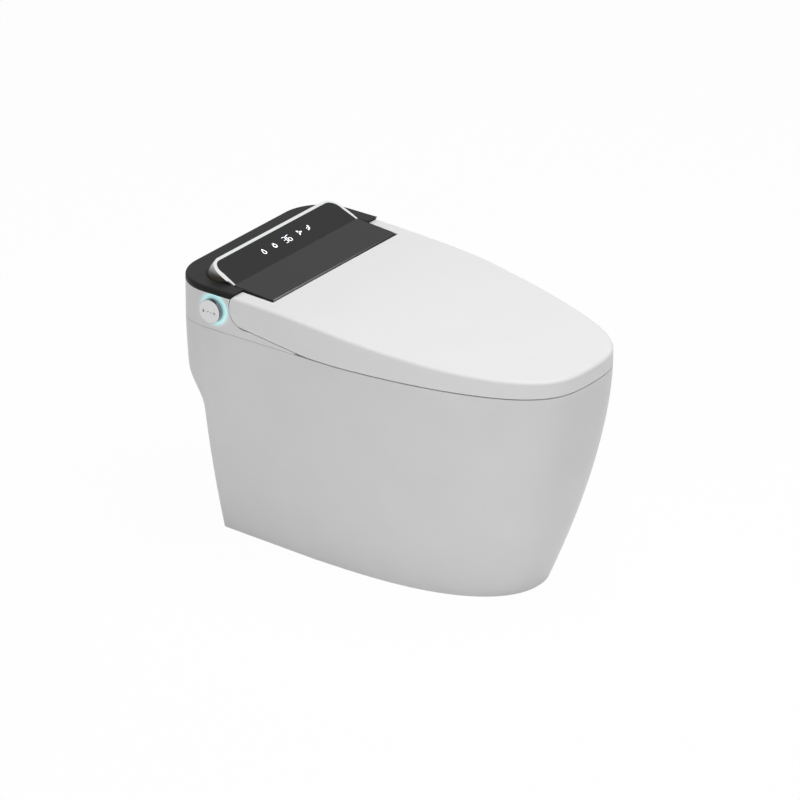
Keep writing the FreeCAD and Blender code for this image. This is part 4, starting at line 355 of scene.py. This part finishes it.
def dress_nodes():
    """Give every CAD piece the finish of its real material."""
    coated_steel = machined_metal("Coated motor case", "#5a5c60", "#54565a", "#626468",
                                  roughness=0.45, groove_mm=2.4)
    dark = plain_plastic("Black glass-filled nylon", "#232325", "#1f1f21", "#2a2a2c", roughness=0.5)
    grey = plain_plastic("Grey polypropylene", "#8f9193", "#888a8c", "#989a9c", roughness=0.45)
    natural = plain_plastic("Natural acetal", "#dddcd6", "#d8d7d0", "#e4e3de", roughness=0.4)
    pipe = plain_plastic("Extruded grey PVC", "#b4b6b8", "#adafb1", "#bcbec0", roughness=0.4, pit_mm=3.0)
    tank = plain_plastic("Blow-moulded tank plastic", "#d5d4cd", "#cfcec6", "#dddcd6",
                         roughness=0.45, pit_mm=2.0)
    steel = machined_metal("Zinc-plated steel", "#b9bbbd", "#adafb2", "#c4c6c8",
                           roughness=0.3, groove_mm=1.6)
    foil = machined_metal("Rolled aluminium foil", "#c9cacc", "#c0c1c3", "#d2d3d5",
                          roughness=0.35, groove_mm=4.0)
    brass = machined_metal("Machined brass", "#c2a05a", "#b8954f", "#ccab67",
                           roughness=0.28, groove_mm=1.6)
    wand = plain_plastic("Polished white ABS", "#e4e5e6", "#e0e1e2", "#e9eaeb", roughness=0.22, pit_mm=2.0)
    finishes = {
        fired_glaze(): ["ceramic_body"],
        moulded_white(): ["rear_housing"],
        moulded_lid(): ["lid_shell", "lid_liner"],
        moulded_seat(): ["seat_top", "seat_bottom"],
        black_satin(): ["top_cover", "front_fascia"],
        silver_plate(): ["display_hood"],
        bright_chrome(): ["chrome_strip"],
        grip_metal(): ["knob_shell"],
        printed_glass(): ["display_glass"],
        pearl_face(): ["knob_cap"],
        lit_ring(): ["knob_light_ring"],
        soft_lens(): ["night_light"],
        pressed_rubber(): ["tray_gasket", "outlet_seal"],
        pad_rubber(): ["seat_bumpers", "lid_bumpers"],
        solder_mask(): ["control_board", "display_module"],
        coated_steel: ["lid_motor", "seat_motor", "wand_steppers", "blower_motor", "power_supply"],
        dark: ["knob_encoder", "blower_housing", "blower_impeller", "control_box", "deodoriser",
               "power_gland", "flush_pump", "seat_sensor"],
        grey: ["base_tray", "wand_cradle", "dryer_duct", "dryer_flap"],
        natural: ["seat_bush", "lid_bushes", "knob_plunger", "pinion_left", "pinion_right",
                  "diverter_valve"],
        pipe: ["water_pipes", "flush_pipe"],
        tank: ["water_heater"],
        steel: ["lid_drive_shaft", "seat_drive_shaft", "tray_bolts", "cover_screws"],
        foil: ["seat_heater", "dryer_heater"],
        brass: ["inlet_valve", "wall_nuts"],
        wand: ["wand_left", "wand_right", "wand_tip_left", "wand_tip_right"],
    }
    for material, names in finishes.items():
        for name in names:
            mesh = nodes[name].data
            mesh.materials.clear()
            mesh.materials.append(material)
    bare = set(nodes) - {name for names in finishes.values() for name in names}
    if bare:
        raise ValueError("no finish for " + ", ".join(sorted(bare)))


# ---------------------------------------------------------------- modelling helpers

INK = 0.15 * MM  # thickness of a symbol or print


def deselect():
    """Leave edit mode, with nothing selected."""
    if bpy.context.object and bpy.context.object.mode != "OBJECT":
        bpy.ops.object.mode_set(mode="OBJECT")
    bpy.ops.object.select_all(action="DESELECT")


def settle(obj, name, material, matrix):
    """Bring a finished piece to its place, with the place in its mesh, and name and finish it."""
    deselect()
    obj.matrix_world = matrix @ obj.matrix_world
    obj.select_set(True)
    bpy.context.view_layer.objects.active = obj
    bpy.ops.object.transform_apply(location=True, rotation=True, scale=True)
    obj.name = name
    obj.data.name = name
    obj.data.materials.clear()
    obj.data.materials.append(material)
    return obj


def joined(parts):
    """Join several meshes into one object."""
    deselect()
    for part in parts:
        part.select_set(True)
    bpy.context.view_layer.objects.active = parts[0]
    bpy.ops.object.join()
    return bpy.context.object


def raised(depth):
    """Extrude all the faces of the edited flat shape into a thin closed plate."""
    bpy.ops.mesh.select_all(action="SELECT")
    bpy.ops.mesh.extrude_region_move(TRANSFORM_OT_translate={"value": (0, 0, depth)})
    bpy.ops.mesh.select_all(action="SELECT")
    bpy.ops.mesh.normals_make_consistent(inside=False)
    bpy.ops.object.mode_set(mode="OBJECT")
    return bpy.context.object


def bar(x, y, length, width, turn=0.0):
    """Flat bar in the drawing plane, its corners cut by a share of its width."""
    deselect()
    bpy.ops.mesh.primitive_plane_add(size=1, location=(x, y, 0))
    bpy.ops.transform.resize(value=(length, width, 1))
    bpy.ops.object.transform_apply(location=False, rotation=False, scale=True)
    bpy.ops.object.mode_set(mode="EDIT")
    bpy.ops.mesh.select_all(action="SELECT")
    bpy.ops.mesh.bevel(offset=width * 0.3, segments=2, affect="VERTICES")
    if turn:
        bpy.ops.transform.rotate(value=turn, orient_axis="Z", center_override=(x, y, 0))
    return raised(INK)


def drop(x, y, size, hollow=True):
    """Water drop, as an outline or filled: a circle whose upper half is drawn up to a tip."""
    radius = size * 0.36
    middle = y - size / 2 + radius
    tip_lift = size - 2 * radius
    tip_narrowing = 0.35
    deselect()
    bpy.ops.mesh.primitive_circle_add(vertices=24, radius=radius, fill_type="NGON",
                                      location=(x, middle, 0))
    bpy.ops.object.transform_apply(location=True, rotation=False, scale=False)
    for vertex in bpy.context.object.data.vertices:
        share = (vertex.co.y - middle) / radius
        if share > 0:
            vertex.co.y += tip_lift * share ** 1.5
            vertex.co.x = x + (vertex.co.x - x) * (1 - tip_narrowing * share)
    bpy.ops.object.mode_set(mode="EDIT")
    bpy.ops.mesh.select_all(action="SELECT")
    if hollow:
        bpy.ops.mesh.inset(thickness=size * 0.12)
        bpy.ops.mesh.delete(type="FACE")
    return raised(INK)


def ring(x, y, size, width, corners=24, shift=0.0):
    """Closed outline with so many corners; shift moves its hole up."""
    deselect()
    bpy.ops.mesh.primitive_circle_add(vertices=corners, radius=size / 2, fill_type="NGON",
                                      location=(x, y, 0))
    bpy.ops.object.transform_apply(location=True, rotation=False, scale=False)
    bpy.ops.object.mode_set(mode="EDIT")
    bpy.ops.mesh.select_all(action="SELECT")
    bpy.ops.mesh.inset(thickness=width)
    bpy.ops.transform.translate(value=(0, shift, 0))
    bpy.ops.mesh.delete(type="FACE")
    return raised(INK)


def dot(x, y, size):
    """Filled round dot."""
    deselect()
    bpy.ops.mesh.primitive_circle_add(vertices=16, radius=size / 2, fill_type="NGON", location=(x, y, 0))
    bpy.ops.object.transform_apply(location=True, rotation=False, scale=False)
    bpy.ops.object.mode_set(mode="EDIT")
    return raised(INK)


FIGURE_HIGH = 14 * MM
FIGURE_WIDE = 8 * MM
SEGMENTS = {
    "3": "top high_right middle low_right foot",
    "6": "top high_left middle low_left low_right foot",
}


def digit(figure, x, y):
    """Seven-segment figure, centred at a place."""
    line = FIGURE_WIDE * 0.13
    half_h = FIGURE_HIGH / 2 - line / 2
    half_w = FIGURE_WIDE / 2 - line / 2
    across = FIGURE_WIDE - 1.7 * line
    down = half_h - 1.1 * line
    # each segment's middle, its length, and whether it stands upright
    places = {
        "top": (0, half_h, across, False),
        "middle": (0, 0, across, False),
        "foot": (0, -half_h, across, False),
        "high_left": (-half_w, half_h / 2, down, True),
        "high_right": (half_w, half_h / 2, down, True),
        "low_left": (-half_w, -half_h / 2, down, True),
        "low_right": (half_w, -half_h / 2, down, True),
    }
    bars = []
    for name in SEGMENTS[figure].split():
        dx, dy, length, upright = places[name]
        size = (line, length) if upright else (length, line)
        bars.append(bar(x + dx, y + dy, *size))
    return joined(bars)


def seat_symbol(x, y, size):
    """Seat from above: a broad rounded outline round a hole, with a hinge bar behind."""
    return joined([ring(x, y - size * 0.06, size, size * 0.2, 12, size * 0.05),
                   bar(x, y + size * 0.52, size * 0.62, size * 0.12)])


def fan_symbol(x, y, size):
    """Separate fan blades round a hub."""
    blades = 3
    first_turn = 90
    parts = [dot(x, y, size * 0.14)]
    for blade in range(blades):
        turn = math.radians(first_turn + 360 / blades * blade)
        petal = drop(x, y + size * 0.33, size * 0.42, hollow=False)
        deselect()
        petal.select_set(True)
        bpy.context.view_layer.objects.active = petal
        bpy.ops.transform.rotate(value=turn, orient_axis="Z", center_override=(x, y, 0))
        bpy.ops.object.transform_apply(location=True, rotation=True, scale=True)
        parts.append(petal)
    return joined(parts)


def wand_symbol(x, y, size):
    """Washing wand under a falling drop."""
    tilt = math.radians(-24)
    return joined([bar(x - size * 0.12, y - size * 0.26, size * 0.72, size * 0.2, tilt),
                   bar(x - size * 0.3, y + size * 0.06, size * 0.3, size * 0.16, tilt),
                   drop(x + size * 0.16, y + size * 0.26, size * 0.52, hollow=False)])


# the raised glass runs from its crease up to its ridge; both on the middle plane
CREASE = Vector((0, 172, 472)) * MM
RIDGE = Vector((0, 227, 497.5)) * MM
SYMBOL_ROW = 29.5 * MM  # up the slope from the crease
SYMBOL_SIZE = 12 * MM
# places along the row, from the panel's middle
DROP_AT = -54 * MM
SEAT_AT = -24 * MM
FIGURES_AT = {"3": 4 * MM, "6": 14.5 * MM}
FAN_AT = 43 * MM
WAND_AT = 68 * MM


def facing(across, up, origin):
    """Matrix from the drawing plane to a face: x across it, y up it, z outwards."""
    matrix = Matrix((across, up, across.cross(up))).transposed().to_4x4()
    matrix.translation = origin
    return matrix


def panel_symbols():
    """Lit symbols and figures in one row on the raised glass."""
    slope = facing(Vector((1, 0, 0)), (RIDGE - CREASE).normalized(), CREASE)
    lit = lit_symbol()
    drawn = {
        "symbol_drop": drop(DROP_AT, SYMBOL_ROW, SYMBOL_SIZE),
        "symbol_seat": seat_symbol(SEAT_AT, SYMBOL_ROW, SYMBOL_SIZE * 0.75),
        "symbol_warmth": joined([digit(figure, at, SYMBOL_ROW) for figure, at in FIGURES_AT.items()]),
        "symbol_fan": fan_symbol(FAN_AT, SYMBOL_ROW, SYMBOL_SIZE),
        "symbol_wand": wand_symbol(WAND_AT, SYMBOL_ROW, SYMBOL_SIZE * 0.9),
    }
    for name, obj in drawn.items():
        settle(obj, name, lit, slope)
        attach(obj, "toilet")


def knob_marks():
    """Small printed pictograms on the knob's face, in one row."""
    low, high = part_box("knob_cap")
    centre = (low + high) / 2
    sunk = 0.7 * INK  # the print lies mostly in the lacquer
    face = facing(Vector((0, -1, 0)), Vector((0, 0, 1)), Vector((low.x + sunk, centre.y, centre.z)))
    # each mark's place from the face's middle, then its size; the ring has its line's width last
    parts = [
        drop(-11.5 * MM, 0, 5.5 * MM, hollow=False),
        dot(-3.6 * MM, -0.3 * MM, 2.0 * MM),
        dot(-0.6 * MM, 0.8 * MM, 1.5 * MM),
        dot(3.8 * MM, -0.6 * MM, 1.8 * MM),
        ring(11 * MM, -0.6 * MM, 4.6 * MM, 1.1 * MM),
    ]
    marks = settle(joined(parts), "knob_print", printed_mark(), face)
    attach(marks, "knob")


# ---------------------------------------------------------------- stage, light and camera

FLOOR_SIZE = 40  # metres, so that its edge is far off
FLOOR_WHITE = 0.97  # share of the backdrop's white in the seen floor; the rest takes the shadow
WORLD_LIGHT = 0.22  # strength of the surroundings as light, beside their full white where seen


def seen_or_mirrored(tree):
    """One where the camera, a mirror or a clear piece looks at the surface; nought for its light."""
    path = add(tree, "ShaderNodeLightPath")
    seen = path.outputs["Is Camera Ray"]
    for kind in ("Is Glossy Ray", "Is Transmission Ray"):
        either = add(tree, "ShaderNodeMath", {0: seen, 1: path.outputs[kind]}, operation="MAXIMUM")
        seen = either.outputs[0]
    return seen


def white_floor():
    """Pale floor: mostly the white of the backdrop, with part of the object's shadow kept."""
    deselect()
    bpy.ops.mesh.primitive_plane_add(size=FLOOR_SIZE, location=(0, 0, 0))
    floor = bpy.context.object
    floor.name = "studio_floor"
    material = bpy.data.materials.new("Painted studio floor")
    material.use_nodes = True
    tree = material.node_tree
    tree.nodes.clear()
    paint = add(tree, "ShaderNodeBsdfDiffuse", {"Color": linear("#ffffff")})
    white = add(tree, "ShaderNodeEmission", {"Color": linear("#ffffff"), "Strength": 1.0})
    share = add(tree, "ShaderNodeMath", {0: seen_or_mirrored(tree), 1: FLOOR_WHITE}, operation="MULTIPLY")
    mixed = add(tree, "ShaderNodeMixShader",
                {0: share.outputs[0], 1: paint.outputs[0], 2: white.outputs[0]})
    add(tree, "ShaderNodeOutputMaterial", {"Surface": mixed.outputs[0]})
    floor.data.materials.append(material)


def studio_world():
    """Even pale surroundings: white where seen or mirrored, softer as light."""
    world = bpy.data.worlds.new("Studio")
    bpy.context.scene.world = world
    world.use_nodes = True
    tree = world.node_tree
    tree.nodes.clear()
    level = add(tree, "ShaderNodeMapRange",
                {"Value": seen_or_mirrored(tree), "To Min": WORLD_LIGHT, "To Max": 1.0})
    back = add(tree, "ShaderNodeBackground",
               {"Color": linear("#ffffff"), "Strength": level.outputs["Result"]})
    add(tree, "ShaderNodeOutputWorld", {"Surface": back.outputs[0]})


def soft_lamp(name, place, aim, size, power):
    """Square soft box that faces a point; place, aim and size are in metres, power in watts."""
    deselect()
    bpy.ops.object.light_add(type="AREA", location=place)
    lamp = bpy.context.object
    lamp.name = name
    lamp.data.size = size
    lamp.data.energy = power
    lamp.rotation_euler = (Vector(place) - Vector(aim)).to_track_quat("Z", "Y").to_euler()


def studio_lamps():
    """A wide lamp above the lid, and a side lamp that lifts the pan's near side."""
    soft_lamp("lamp_overhead", place=(0.2, -0.85, 2.85), aim=(0, -0.2, 0.3), size=2.4, power=56)
    soft_lamp("lamp_side", place=(-3.4, -0.95, 1.7), aim=(0, -0.1, 0.2), size=2.2, power=30)


PHOTO_PX = 800  # width of the photograph
FOCAL_PX = 7228  # focal length that was fitted to it, in its pixels
SENSOR_MM = 36
AZIMUTH = math.radians(-53.55)  # from straight in front, towards the knob's side
ELEVATION = math.radians(25.30)
DISTANCE = 12.0  # metres from the point it looks at
TARGET = Vector((-0.0029, -0.0443, 0.2605))


def photo_camera():
    """Long lens at the photograph's viewing angle."""
    level = math.cos(ELEVATION)
    back = Vector((math.sin(AZIMUTH) * level, -math.cos(AZIMUTH) * level, math.sin(ELEVATION)))
    deselect()
    bpy.ops.object.camera_add(location=TARGET + back * DISTANCE)
    camera = bpy.context.object
    camera.rotation_euler = back.to_track_quat("Z", "Y").to_euler()
    camera.data.sensor_width = SENSOR_MM
    camera.data.lens = SENSOR_MM * FOCAL_PX / PHOTO_PX
    camera.data.clip_end = 100
    bpy.context.scene.camera = camera


dress_nodes()
panel_symbols()
knob_marks()
white_floor()
studio_world()
studio_lamps()
photo_camera()
bpy.context.scene.view_settings.view_transform = "Standard"
